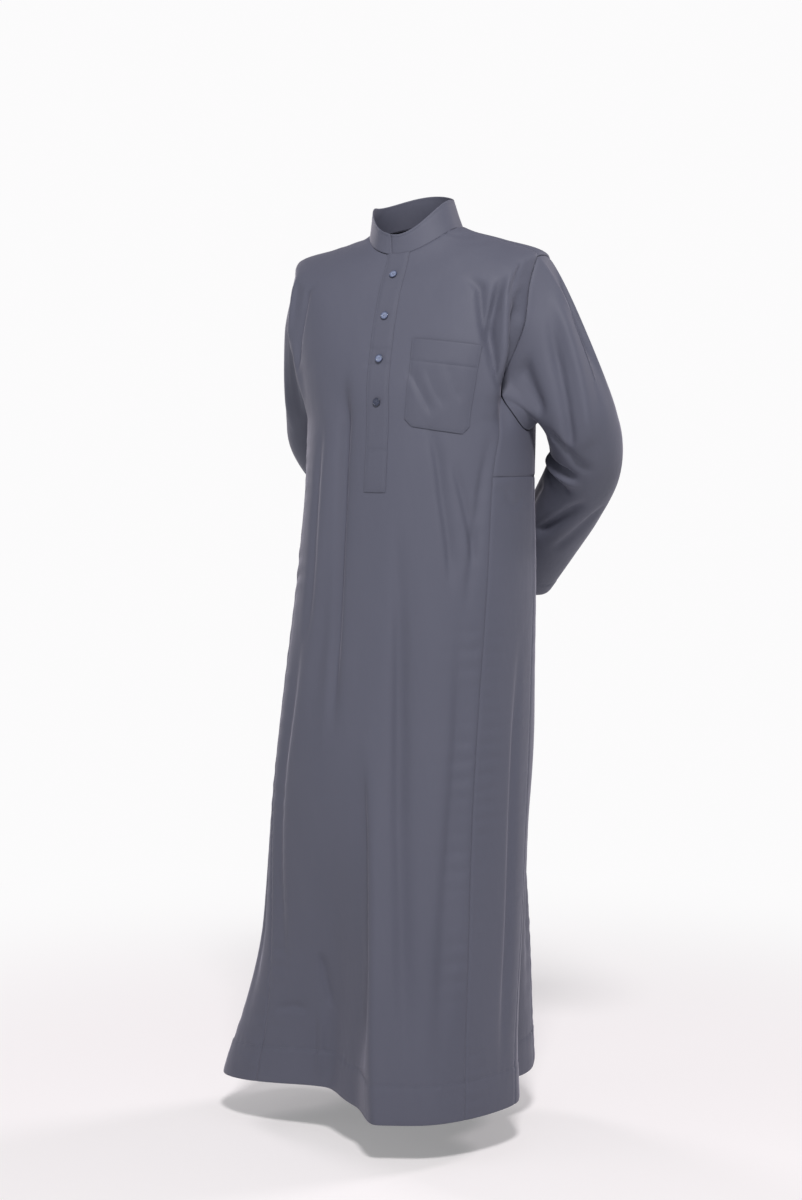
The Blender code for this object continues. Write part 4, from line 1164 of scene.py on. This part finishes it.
def build_button(number, height, slot):
    """A turned face, its sides and its underside, as rings of points with one more point at each middle."""
    level = level_at(np.array(0.0), np.array(height))
    normal = surface_normal(np.array(0.0), level)
    stack = LAID_GAP + PATCH_WALL + SEAM_GAP + BUTTON_THICK / 2
    base = form(0.0, level) + form_normal(0.0, level) * stack
    radius = BUTTON_RADIUS * np.linspace(0, 1, BUTTON_RINGS)[1:] ** 0.9
    turn = np.linspace(0, 2 * np.pi, BUTTON_TURNS, endpoint=False)
    x, y = radius[:, None] * np.cos(turn), radius[:, None] * np.sin(turn)
    face = np.stack([x, y, button_face(x, y)], axis=-1)
    under = np.array([(1.0, 0.0), (0.86, -1.0), (0.4, -1.0)])
    low = [np.stack([x[-1] * share, y[-1] * share, face[-1, :, 2] * 0 + BUTTON_THICK / 2 * down], axis=-1)
           for share, down in under]
    grid = np.concatenate([face, np.array(low)])
    rows, columns = grid.shape[:2]
    centres = np.array([[0, 0, button_face(0.0, 0.0)], [0, 0, -BUTTON_THICK / 2]])
    local = np.concatenate([grid.reshape(-1, 3), centres])
    quads = grid_faces(rows, columns, True, 0)[:, ::-1]
    ring = np.arange(columns)
    after = np.roll(ring, -1)
    top, bottom = rows * columns, rows * columns + 1
    last = (rows - 1) * columns
    fans = np.concatenate([
        np.stack([ring, after, np.full(columns, top)], axis=-1),
        np.stack([last + after, last + ring, np.full(columns, bottom)], axis=-1),
    ])
    triangles = np.concatenate([quads[:, [0, 1, 2]], quads[:, [0, 2, 3]], fans])
    axes = standing_on(normal, np.array([1.0, 0.0, 0.0]))
    name = f"button_{number}_turned"
    button = add_piece(name, new_mesh(name, base + local @ axes, triangles, local[:, :2].copy()), slot,
                       (f"button_{number}",))
    bars = np.array([thread_bar(x_bar) for x_bar in (-HOLE_OFFSET, HOLE_OFFSET)])
    rows, columns = bars.shape[1:3]
    points = bars.reshape(-1, 3)
    faces = np.concatenate([grid_faces(rows, columns, True, start) for start in (0, rows * columns)])
    name = f"button_{number}_thread"
    thread = add_piece(name, new_mesh(name, base + points @ axes, faces, points[:, :2].copy()), slot)
    return button, thread


buttons = [build_button(index + 1, height, slot)
           for index, (height, slot) in enumerate(zip(BUTTON_HEIGHTS, BUTTON_SLOTS))]
print("Buttons:", len(buttons))

# %% [markdown]
# ## Stitching
#
# Topstitching is a line of short thread beads, each diving into the cloth at both ends. One bead is a tiny
# four-sided tube of a few rings; the whole line is that bead repeated as one array, set along a path on the
# cloth and turned to its normals. The path is read from the shell's own grid, so it follows every crease.

# %% Lines of stitches
STITCH_PITCH = 0.0031
STITCH_SHARE = 0.74
THREAD_HALF = 0.00026
BEAD_FACES = 18
TACK_PITCH = 0.0050
TACK_SHIFTS = (-0.30, -0.15, 0.0, 0.15, 0.30)
SLIT_LINE = 0.0055
SLIT_EDGE = 0.0012
BEAD_COLUMNS = ("along", "size", "lift")
BEAD = (
    (-0.50, 0.45, -0.9),
    (-0.34, 1.00, 0.1),
    (0.0, 1.05, 0.45),
    (0.34, 1.00, 0.1),
    (0.50, 0.45, -0.9),
)


def on_grid(grid, row, column):
    """The grid's values at fractions of a row and a column, mixed from the four points round each."""
    row = np.clip(row, 0, grid.shape[0] - 1.0001)
    column = np.clip(column, 0, grid.shape[1] - 1.0001)
    i, j = row.astype(int), column.astype(int)
    a, b = (row - i)[:, None], (column - j)[:, None]
    low = grid[i, j] * (1 - b) + grid[i, j + 1] * b
    high = grid[i + 1, j] * (1 - b) + grid[i + 1, j + 1] * b
    return low * (1 - a) + high * a


def path_on(grid, corners):
    """Points and normals of a path through corners given as fractions of a row and a column."""
    corners = np.array(corners, float)
    knots = np.arange(len(corners))
    at = np.linspace(0, knots[-1], 140 * knots[-1] + 1)
    row, column_at = np.interp(at, knots, corners[:, 0]), np.interp(at, knots, corners[:, 1])
    return on_grid(grid, row, column_at), unit(on_grid(grid_normals(grid), row, column_at))


def stitch_line(points, normals, pitch=STITCH_PITCH):
    """Beads along a path: the bead's rings times the direction along, across and out at each stitch."""
    place = np.concatenate([[0.0], np.cumsum(np.linalg.norm(np.diff(points, axis=0), axis=1))])
    count = max(int(place[-1] / pitch), 1)
    at = (np.arange(count) + 0.5) * place[-1] / count
    ahead = [np.interp(at + pitch * 0.3, place, points[:, i]) for i in range(3)]
    behind = [np.interp(at - pitch * 0.3, place, points[:, i]) for i in range(3)]
    middle = np.stack([np.interp(at, place, points[:, i]) for i in range(3)], axis=-1)
    out = unit(np.stack([np.interp(at, place, normals[:, i]) for i in range(3)], axis=-1))
    along = unit(np.stack(ahead, axis=-1) - np.stack(behind, axis=-1))
    aside = np.cross(out, along)
    rings = {name: column(BEAD, BEAD_COLUMNS, name) for name in BEAD_COLUMNS}
    turn = np.pi / 4 + np.pi / 2 * np.arange(4)
    step = rings["along"][None, :, None, None] * pitch * STITCH_SHARE * along[:, None, None, :]
    size = rings["size"][None, :, None, None] * THREAD_HALF
    round_it = np.cos(turn)[None, None, :, None] * aside[:, None, None] * size
    raised = (np.sin(turn)[None, None, :, None] * size + rings["lift"][None, :, None, None] * THREAD_HALF)
    beads = middle[:, None, None] + step + round_it + raised * out[:, None, None]
    ring_count = len(BEAD)
    sides = grid_faces(ring_count, 4, True, 0)
    ends = np.array([np.arange(4)[::-1], np.arange(4) + 4 * (ring_count - 1)])
    faces = np.concatenate([sides, ends])[:, ::-1]
    numbers = np.arange(count)[:, None, None] * 4 * ring_count
    return beads.reshape(-1, 3), (faces[None] + numbers).reshape(-1, 4)


def add_stitches(name, paths, slot="cloth", pitch=STITCH_PITCH):
    """Joins the stitch lines along several paths into one piece."""
    points, faces, start = [], [], 0
    for path in paths:
        bead_points, bead_faces = stitch_line(*path, pitch)
        points.append(bead_points)
        faces.append(bead_faces + start)
        start += len(bead_points)
    points, faces = np.concatenate(points), np.concatenate(faces)
    print(f"{name}: {len(faces) // BEAD_FACES} stitches")
    return add_piece(name, new_mesh(name, points, faces, points[:, :2].copy()), slot)


def row_of(levels, level):
    """The fraction of a row at which a panel's middle column reaches this level."""
    middle = levels[:, levels.shape[1] // 2]
    return float(np.interp(level, middle, np.arange(len(middle))))


def inset(grid, axis, distance):
    """The fraction of a column (axis 1) or row (axis 0) that lies this far in from the grid's first one."""
    mean = lengths(grid, axis).mean(axis=1 - axis)
    return float(np.interp(distance, mean, np.arange(len(mean))))


HEMMED = ("front", "back", "front_gore_left", "front_gore_right", "back_gore_left", "back_gore_right")


def hem_paths():
    """The hem's stitch line on each panel that reaches it."""
    paths = []
    for name in HEMMED:
        panel = panels[name]
        row = row_of(panel["level"], HEM + HEM_DEPTH)
        paths.append(path_on(panel["outer"], [(row, 0), (row, panel["outer"].shape[1] - 1)]))
    return paths


def frame_path(grid, distance):
    """Down the first side, along the foot and up the other side of a laid piece, this far inside its edge."""
    row, side = inset(grid, 0, distance), inset(grid, 1, distance)
    top, far = grid.shape[0] - 1, grid.shape[1] - 1
    return path_on(grid, [(top, side), (row, side), (row, far - side), (top, far - side)])


def across_path(grid, distance, margin):
    """From side to side, this far up from the foot and this margin inside both sides."""
    row, side = inset(grid, 0, distance), inset(grid, 1, margin)
    return path_on(grid, [(row, side), (row, grid.shape[1] - 1 - side)])


def slit_paths(hand, mirrored):
    """A line of stitches beside the slit's front lip, and a bar tack, of close stitches, at each end."""
    panel = panels[f"front_gore_{hand}"]
    grid = panel["outer"]
    low, high = row_of(panel["level"], SLIT_FOOT), row_of(panel["level"], SLIT_TOP)
    line, edge = inset(grid, 1, SLIT_LINE), inset(grid, 1, SLIT_EDGE)
    if not mirrored:
        line, edge = grid.shape[1] - 1 - line, grid.shape[1] - 1 - edge
    lip = path_on(grid, [(low, line), (high, line)])
    tacks = [path_on(grid, [(row + shift, edge), (row + shift, line)])
             for row in (low, high) for shift in TACK_SHIFTS]
    return lip, tacks


add_stitches("hem_stitches", hem_paths())
for hand, (piece, outer, along) in sleeves.items():
    wrapped = np.concatenate([outer, outer[:, :1]], axis=1)
    row = float(np.interp(along[-1] - SLEEVE_HEM, along, np.arange(len(along))))
    add_stitches(f"sleeve_{hand}_stitches", [path_on(wrapped, [(row, 0), (row, outer.shape[1])])])
    lip, tacks = slit_paths(hand, hand == "right")
    add_stitches(f"slit_{hand}_stitches", [lip])
    add_stitches(f"slit_{hand}_tacks", tacks, pitch=TACK_PITCH)
pocket_lines = [frame_path(pocket_outer, POCKET_STITCH)]
pocket_top = lengths(pocket_outer, 0)[-1].mean()
pocket_lines.append(across_path(pocket_outer, pocket_top - POCKET_HEM, POCKET_STITCH))
add_stitches("pocket_stitches", pocket_lines, "patch_cloth")
placket_lines = [frame_path(placket_outer, PLACKET_STITCH)]
placket_lines += [across_path(placket_outer, PLACKET_BOX - step, PLACKET_STITCH)
                  for step in (0.0, BOX_DOUBLE)]
add_stitches("placket_stitches", placket_lines, "patch_cloth")
collar_height = lengths(collar_outer, 0)[-1].mean()
collar_line = across_path(collar_outer, collar_height - COLLAR_STITCH, COLLAR_STITCH)
add_stitches("collar_stitches", [collar_line])

# %% [markdown]
# ## Finishes
#
# The cloth is a smooth slate blue-grey suiting with a slight sheen. Its weave follows the cut, so the weave
# group reads the UV map, where one unit is a metre of cloth: fine streaks along the warp and the weft, and a
# faint twill across both. A second group gives slow changes of tone from Object coordinates, as dye and wear
# do. Both put out only values, which feed the colour, the roughness and a Bump.

# %% Shader groups
def new_group(name, inputs, outputs):
    """An empty shader group with number inputs, each with its usual value, and number outputs."""
    group = bpy.data.node_groups.new(name, "ShaderNodeTree")
    for label, usual in inputs.items():
        socket = group.interface.new_socket(name=label, in_out="INPUT", socket_type="NodeSocketFloat")
        socket.default_value = usual
    for label in outputs:
        group.interface.new_socket(name=label, in_out="OUTPUT", socket_type="NodeSocketFloat")
    return group, group.nodes.new("NodeGroupInput"), group.nodes.new("NodeGroupOutput")


def add_node(tree, kind, links=None, **settings):
    """A node with its settings, and its inputs linked or given values, by their names or numbers."""
    node = tree.nodes.new(kind)
    for name, value in settings.items():
        setattr(node, name, value)
    for socket, value in (links or {}).items():
        if isinstance(value, bpy.types.NodeSocket):
            tree.links.new(value, node.inputs[socket])
        else:
            node.inputs[socket].default_value = value
    return node


def maths(tree, operation, first, second=0.0):
    """The result of one sum, product or other operation of two numbers."""
    return add_node(tree, "ShaderNodeMath", {0: first, 1: second}, operation=operation).outputs[0]


def stretched_noise(tree, vector, scale):
    """Noise on a vector first multiplied by a scale for each direction, so that it runs in streaks."""
    stretch = add_node(tree, "ShaderNodeVectorMath", {0: vector, 1: scale}, operation="MULTIPLY")
    noise = add_node(tree, "ShaderNodeTexNoise", {"Vector": stretch.outputs[0], "Scale": 1.0, "Detail": 2.0})
    return noise.outputs["Fac"]


def build_weave_group():
    """Height: the sum of warp streaks, weft streaks and a sine along the twill. Fleck: the streaks alone."""
    group, inputs, outputs = new_group("suiting weave", {"Twill": 0.25, "Threads": 2400.0},
                                       ("Height", "Fleck"))
    cut = add_node(group, "ShaderNodeUVMap", uv_map="cut").outputs[0]
    warp = stretched_noise(group, cut, (1500.0, 42.0, 0.0))
    weft = stretched_noise(group, cut, (60.0, 1500.0, 0.0))
    parts = add_node(group, "ShaderNodeSeparateXYZ", {0: cut})
    slant = maths(group, "ADD", parts.outputs["X"], parts.outputs["Y"])
    line = maths(group, "SINE", maths(group, "MULTIPLY", slant, inputs.outputs["Threads"]))
    fleck = maths(group, "ADD", maths(group, "MULTIPLY", warp, 0.6), maths(group, "MULTIPLY", weft, 0.4))
    twill = maths(group, "MULTIPLY", line, inputs.outputs["Twill"])
    group.links.new(maths(group, "ADD", fleck, twill), outputs.inputs["Height"])
    group.links.new(fleck, outputs.inputs["Fleck"])
    return group


def build_tone_group():
    """Tone: a slow noise and a quicker one, mixed and stretched down the garment."""
    group, inputs, outputs = new_group("slow tone", {"Quick": 0.35}, ("Tone", "Crumple"))
    place = add_node(group, "ShaderNodeTexCoord").outputs["Object"]
    slow = stretched_noise(group, place, (5.0, 5.0, 2.2))
    quick = stretched_noise(group, place, (26.0, 26.0, 9.0))
    tone = maths(group, "ADD", slow, maths(group, "MULTIPLY", quick, inputs.outputs["Quick"]))
    crumple = stretched_noise(group, place, (34.0, 34.0, 15.0))
    group.links.new(maths(group, "MULTIPLY", tone, 0.75), outputs.inputs["Tone"])
    group.links.new(crumple, outputs.inputs["Crumple"])
    return group


def build_rim_group():
    """Rim: 0 at a button's middle and 1 at its edge, from the length of the UV vector over the radius."""
    group, inputs, outputs = new_group("button rim", {"Radius": BUTTON_RADIUS}, ("Rim", "Pearl"))
    place = add_node(group, "ShaderNodeUVMap", uv_map="cut").outputs[0]
    length = add_node(group, "ShaderNodeVectorMath", {0: place}, operation="LENGTH").outputs["Value"]
    share = maths(group, "DIVIDE", length, inputs.outputs["Radius"])
    pearl = stretched_noise(group, place, (260.0, 420.0, 0.0))
    group.links.new(maths(group, "POWER", share, 3.0), outputs.inputs["Rim"])
    group.links.new(pearl, outputs.inputs["Pearl"])
    return group


WEAVE = build_weave_group()
TONE = build_tone_group()
RIM = build_rim_group()
print("Shader groups:", WEAVE.name, TONE.name, RIM.name)

# %% [markdown]
# ## Materials
#
# A material places the groups and gives them its own colours. The sheen, which lights the cloth's edges as
# fine fibres do, is a constant on the shader. The buttons are pearly in the middle and dark blue at the rim,
# under a clear coat.

# %% Cloth, thread and button materials
CLOTH_DARK = (0.072, 0.076, 0.107, 1.0)
CLOTH_LIGHT = (0.103, 0.107, 0.144, 1.0)
# Painted shade: the placket and the pocket take the cloth's own colours multiplied by this amount, a little
# darker than the rest.
LAID_PAINTED_SHADE = 0.96
THREAD_COLOUR = (0.070, 0.078, 0.112, 1.0)
SHEEN_TINT = (0.86, 0.82, 0.98, 1.0)
ROUGH_LOW = 0.60
ROUGH_HIGH = 0.74
PEARL_MIDDLE = (0.24, 0.28, 0.41, 1.0)
PEARL_RIM = (0.012, 0.018, 0.055, 1.0)
SMOKE_MIDDLE = (0.060, 0.068, 0.105, 1.0)
SMOKE_RIM = (0.016, 0.020, 0.040, 1.0)


def shader_of(name):
    """A new material with its node tree and its shader."""
    material = bpy.data.materials.new(name)
    material.use_nodes = True
    return material, material.node_tree, material.node_tree.nodes["Principled BSDF"]


def use_group(tree, group, **values):
    """A shared group placed in a material, with its inputs' values."""
    node = add_node(tree, "ShaderNodeGroup", node_tree=group)
    for name, value in values.items():
        node.inputs[name].default_value = value
    return node


def mix_colours(tree, factor, first, second):
    """The first colour at a factor of 0 and the second at 1."""
    node = add_node(tree, "ShaderNodeMix", data_type="RGBA")
    for socket, value in ((0, factor), (6, first), (7, second)):
        if isinstance(value, bpy.types.NodeSocket):
            tree.links.new(value, node.inputs[socket])
        else:
            node.inputs[socket].default_value = value
    return node.outputs[2]


def shaded(colour, amount):
    """A colour with its three parts multiplied by the amount."""
    return tuple(part * amount for part in colour[:3]) + (1.0,)


def cloth_material(name, painted_shade):
    """The weave's fleck and the slow tone mix two blues and the roughness, and two bumps add the threads.
    Both blues are multiplied by the painted shade, which is below 1 on the laid pieces.
    """
    material, tree, shader = shader_of(name)
    weave = use_group(tree, WEAVE, Twill=0.22)
    tone = use_group(tree, TONE, Quick=0.35)
    spread = maths(tree, "ADD", maths(tree, "MULTIPLY", tone.outputs["Tone"], 0.7),
                   maths(tree, "MULTIPLY", weave.outputs["Fleck"], 0.45))
    colour = mix_colours(tree, spread, shaded(CLOTH_DARK, painted_shade), shaded(CLOTH_LIGHT, painted_shade))
    tree.links.new(colour, shader.inputs["Base Color"])
    rough = add_node(tree, "ShaderNodeMapRange",
                     {0: weave.outputs["Fleck"], 1: 0.3, 2: 0.7, 3: ROUGH_LOW, 4: ROUGH_HIGH})
    tree.links.new(rough.outputs[0], shader.inputs["Roughness"])
    crumple = add_node(tree, "ShaderNodeBump", {"Strength": 0.5, "Distance": 0.0022,
                                                "Height": tone.outputs["Crumple"]})
    bump = add_node(tree, "ShaderNodeBump", {"Strength": 0.35, "Distance": 0.00022,
                                             "Height": weave.outputs["Height"], "Normal": crumple.outputs[0]})
    tree.links.new(bump.outputs[0], shader.inputs["Normal"])
    shader.inputs["Sheen Weight"].default_value = 0.16
    shader.inputs["Sheen Roughness"].default_value = 0.35
    shader.inputs["Sheen Tint"].default_value = SHEEN_TINT
    shader.inputs["Specular IOR Level"].default_value = 0.36
    return material


def thread_material():
    """The cloth's colour, a little deeper, with the same slow tone."""
    material, tree, shader = shader_of("sewing thread")
    tone = use_group(tree, TONE, Quick=0.8)
    colour = mix_colours(tree, tone.outputs["Tone"], shaded(THREAD_COLOUR, 0.8), shaded(THREAD_COLOUR, 1.3))
    tree.links.new(colour, shader.inputs["Base Color"])
    shader.inputs["Roughness"].default_value = 0.42
    shader.inputs["Sheen Weight"].default_value = 0.2
    return material


def button_material(name, middle, edge, rough):
    """Clouded in the middle, plain and dark at the rim, under a clear coat."""
    material, tree, shader = shader_of(name)
    rim = use_group(tree, RIM)
    pearly = mix_colours(tree, rim.outputs["Pearl"], shaded(middle, 0.72), shaded(middle, 1.25))
    tree.links.new(mix_colours(tree, rim.outputs["Rim"], pearly, edge), shader.inputs["Base Color"])
    shader.inputs["Roughness"].default_value = rough
    shader.inputs["Coat Weight"].default_value = 0.7
    shader.inputs["Coat Roughness"].default_value = 0.08
    return material


MATERIALS = {
    "cloth": cloth_material("slate suiting", 1.0),
    # The laid pieces' material is the cloth darkened by the painted shade.
    "patch_cloth": cloth_material("slate suiting, laid pieces in painted shade", LAID_PAINTED_SHADE),
    "thread": thread_material(),
    "pearl_button": button_material("pearly button", PEARL_MIDDLE, PEARL_RIM, 0.20),
    "smoke_button": button_material("smoky button", SMOKE_MIDDLE, SMOKE_RIM, 0.22),
}


def finish_pieces():
    """Gives each piece its material: thread to the sewing, and the slot's own finish to the rest."""
    given = 0
    for piece in bpy.context.scene.objects:
        if piece.type != "MESH" or "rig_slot" not in piece:
            continue
        sewing = piece.name.endswith(("stitches", "tacks", "thread"))
        piece.data.materials.clear()
        piece.data.materials.append(MATERIALS["thread" if sewing else piece["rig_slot"]])
        given += 1
    return given


print("Pieces finished:", finish_pieces())

# %% [markdown]
# ## Floor, light and camera
#
# The garment stands a little above a plain pale floor, where a wearer would hold it. Large area lights make
# soft edges: a key high above the camera, a weaker fill from the viewer's left, and a light behind each side
# that catches the folds' edges. The camera is at chest height a few metres away, on the garment's left front.

# %% Stage and lights
FLOOR_LEVEL = -1.512
FLOOR_HALF = 14.0
FLOOR_COLOUR = (0.95, 0.92, 0.92, 1.0)
FLOOR_GLOW = 0.28
FLOOR_NEAR = 0.5
FLOOR_FAR = 2.6
LIGHT_COLUMNS = ("place", "size", "power", "colour")
LIGHTS = {
    "key": ((1.75, -3.0, 3.0), 0.8, 232.0, (1.0, 0.975, 0.985)),
    "fill": ((-3.0, -2.6, 0.4), 2.0, 12.0, (0.97, 0.96, 1.0)),
    "left rim": ((2.2, 3.2, 1.6), 1.2, 62.0, (1.0, 0.93, 0.97)),
    "right rim": ((-3.2, 1.4, 0.6), 1.2, 36.0, (1.0, 0.93, 0.97)),
}
LIGHT_AIM = (0.0, 0.0, -0.62)
WORLD_COLOUR = (0.96, 0.97, 1.0, 1.0)
WORLD_POWER = 0.15
BACKGROUND_COLOUR = (0.97, 0.965, 0.97, 1.0)


def build_floor():
    """A square sheet. Its glow rises smoothly with the distance from the garment until it is as bright as the
    background, so that no horizon shows, while the shadow under the hem stays."""
    half = FLOOR_HALF
    points = np.array([[-half, -half, FLOOR_LEVEL], [half, -half, FLOOR_LEVEL],
                       [half, half, FLOOR_LEVEL], [-half, half, FLOOR_LEVEL]])
    floor = bpy.data.objects.new("studio_floor", new_mesh("studio_floor", points, np.array([[0, 1, 2, 3]])))
    bpy.context.scene.collection.objects.link(floor)
    material, tree, shader = shader_of("pale floor")
    shader.inputs["Base Color"].default_value = FLOOR_COLOUR
    shader.inputs["Roughness"].default_value = 0.8
    place = add_node(tree, "ShaderNodeTexCoord")
    away = add_node(tree, "ShaderNodeVectorMath", {0: place.outputs["Object"], 1: (0.0, 0.0, -FLOOR_LEVEL)},
                    operation="ADD")
    distance = add_node(tree, "ShaderNodeVectorMath", {0: away.outputs[0]}, operation="LENGTH")
    part = add_node(tree, "ShaderNodeMapRange",
                    {0: distance.outputs["Value"], 1: FLOOR_NEAR, 2: FLOOR_FAR, 3: FLOOR_GLOW, 4: 1.0},
                    interpolation_type="SMOOTHERSTEP")
    glow = add_node(tree, "ShaderNodeEmission", {"Color": BACKGROUND_COLOUR, "Strength": 1.0})
    mix = add_node(tree, "ShaderNodeMixShader",
                   {0: part.outputs[0], 1: shader.outputs[0], 2: glow.outputs[0]})
    tree.links.new(mix.outputs[0], tree.nodes["Material Output"].inputs["Surface"])
    floor.data.materials.append(material)
    return floor


def build_lights():
    """Round area lights, each turned to look at one point of the garment."""
    made = []
    for name, row in LIGHTS.items():
        light = dict(zip(LIGHT_COLUMNS, row))
        lamp = bpy.data.lights.new(name, "AREA")
        lamp.shape = "DISK"
        lamp.size = light["size"]
        lamp.energy = light["power"]
        lamp.color = light["colour"]
        holder = bpy.data.objects.new(name, lamp)
        bpy.context.scene.collection.objects.link(holder)
        holder.location = light["place"]
        aim = Vector(LIGHT_AIM) - holder.location
        holder.rotation_euler = aim.to_track_quat("-Z", "Y").to_euler()
        made.append(holder)
    return made


def build_world():
    """A dim even light all round, with a bright plain background where the camera looks straight at it."""
    world = bpy.data.worlds.new("studio")
    world.use_nodes = True
    tree = world.node_tree
    light = tree.nodes["Background"]
    light.inputs["Color"].default_value = WORLD_COLOUR
    light.inputs["Strength"].default_value = WORLD_POWER
    seen = add_node(tree, "ShaderNodeBackground", {"Color": BACKGROUND_COLOUR, "Strength": 1.0})
    rays = add_node(tree, "ShaderNodeLightPath")
    mix = add_node(tree, "ShaderNodeMixShader",
                   {0: rays.outputs["Is Camera Ray"], 1: light.outputs[0], 2: seen.outputs[0]})
    tree.links.new(mix.outputs[0], tree.nodes["World Output"].inputs["Surface"])
    bpy.context.scene.world = world
    bpy.context.scene.view_settings.view_transform = "Standard"


build_world()
build_floor()
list(build_lights())

# %% Camera
CAMERA_TURN = 27.0
CAMERA_DISTANCE = 4.2
CAMERA_HEIGHT = -0.344
CAMERA_PITCH = -3.7
CAMERA_YAW_EXTRA = 0.34
SENSOR_HEIGHT = 36.0
LENS = 76.35


def build_camera():
    """On a circle round the garment: the turn's sine and cosine times the distance give its place."""
    camera = bpy.data.objects.new("camera", bpy.data.cameras.new("camera"))
    bpy.context.scene.collection.objects.link(camera)
    camera.data.sensor_fit = "VERTICAL"
    camera.data.sensor_height = SENSOR_HEIGHT
    camera.data.lens = LENS
    turn = np.radians(CAMERA_TURN)
    camera.location = (CAMERA_DISTANCE * np.sin(turn), -CAMERA_DISTANCE * np.cos(turn), CAMERA_HEIGHT)
    tilt = np.pi / 2 + np.radians(CAMERA_PITCH)
    camera.rotation_euler = (tilt, 0.0, turn + np.radians(CAMERA_YAW_EXTRA))
    bpy.context.scene.camera = camera
    return camera


camera = build_camera()
print("Camera at", np.round(camera.location, 3))

# %% [markdown]
# ## What each sheet was cut from
#
# Cloth bends but hardly stretches, so each worn piece has to have about the area of its flat cut. The table
# gives the width and length of the cut, in metres, with its area where it is not a rectangle, and what the
# piece hangs from.

SHEET_COLUMNS = ("width", "length", "area", "held", "rests_on")
SHEETS = {
    "front": (0.60, 1.56, 0.66, "hung", ("yoke_cloth", "collar_cloth")),
    "back": (0.53, 1.43, 0.50, "hung", ("yoke_cloth",)),
    "yoke": (0.63, 0.20, 0.068, "laid", ("collar_cloth",)),
    "front_gore_left": (0.16, 1.04, 0.145, "hung", ("underarm_left_cloth",)),
    "back_gore_left": (0.24, 1.04, 0.160, "hung", ("underarm_left_cloth",)),
    "underarm_left": (0.22, 0.15, 0.019, "hung", ("front_cloth", "back_cloth")),
    "front_gore_right": (0.16, 1.06, 0.147, "hung", ("underarm_right_cloth",)),
    "back_gore_right": (0.26, 1.06, 0.168, "hung", ("underarm_right_cloth",)),
    "underarm_right": (0.22, 0.15, 0.019, "hung", ("front_cloth", "back_cloth")),
    "sleeve_left": (0.52, 0.66, 0.215, "hung", ("front_cloth", "back_cloth", "yoke_cloth")),
    "sleeve_right": (0.52, 0.64, 0.198, "hung", ("front_cloth", "back_cloth", "yoke_cloth")),
    "collar": (0.49, 0.048, 0.0195, "laid", ("front_cloth", "yoke_cloth")),
    "placket": (0.04, 0.41, 0.0162, "laid", ("front_cloth",)),
    "chest_pocket": (0.12, 0.15, 0.0162, "laid", ("front_cloth",)),
}


def sheet_area(piece):
    """Half the area of a closed shell, which is the area of its cloth."""
    mesh = piece.data
    area = np.empty(len(mesh.polygons))
    mesh.polygons.foreach_get("area", area)
    return area.sum() / 2


cloth_pieces = {name: panel["piece"] for name, panel in panels.items()}
cloth_pieces |= {f"sleeve_{hand}": sleeve[0] for hand, sleeve in sleeves.items()}
cloth_pieces |= {"collar": collar, "placket": placket, "chest_pocket": pocket}
for name, row in SHEETS.items():
    cut = dict(zip(SHEET_COLUMNS, row))
    piece = cloth_pieces[name]
    share = sheet_area(piece) / cut["area"]
    print(f"{name}: {sheet_area(piece):.4f} square metres of cloth, {share:.2f} of its cut")
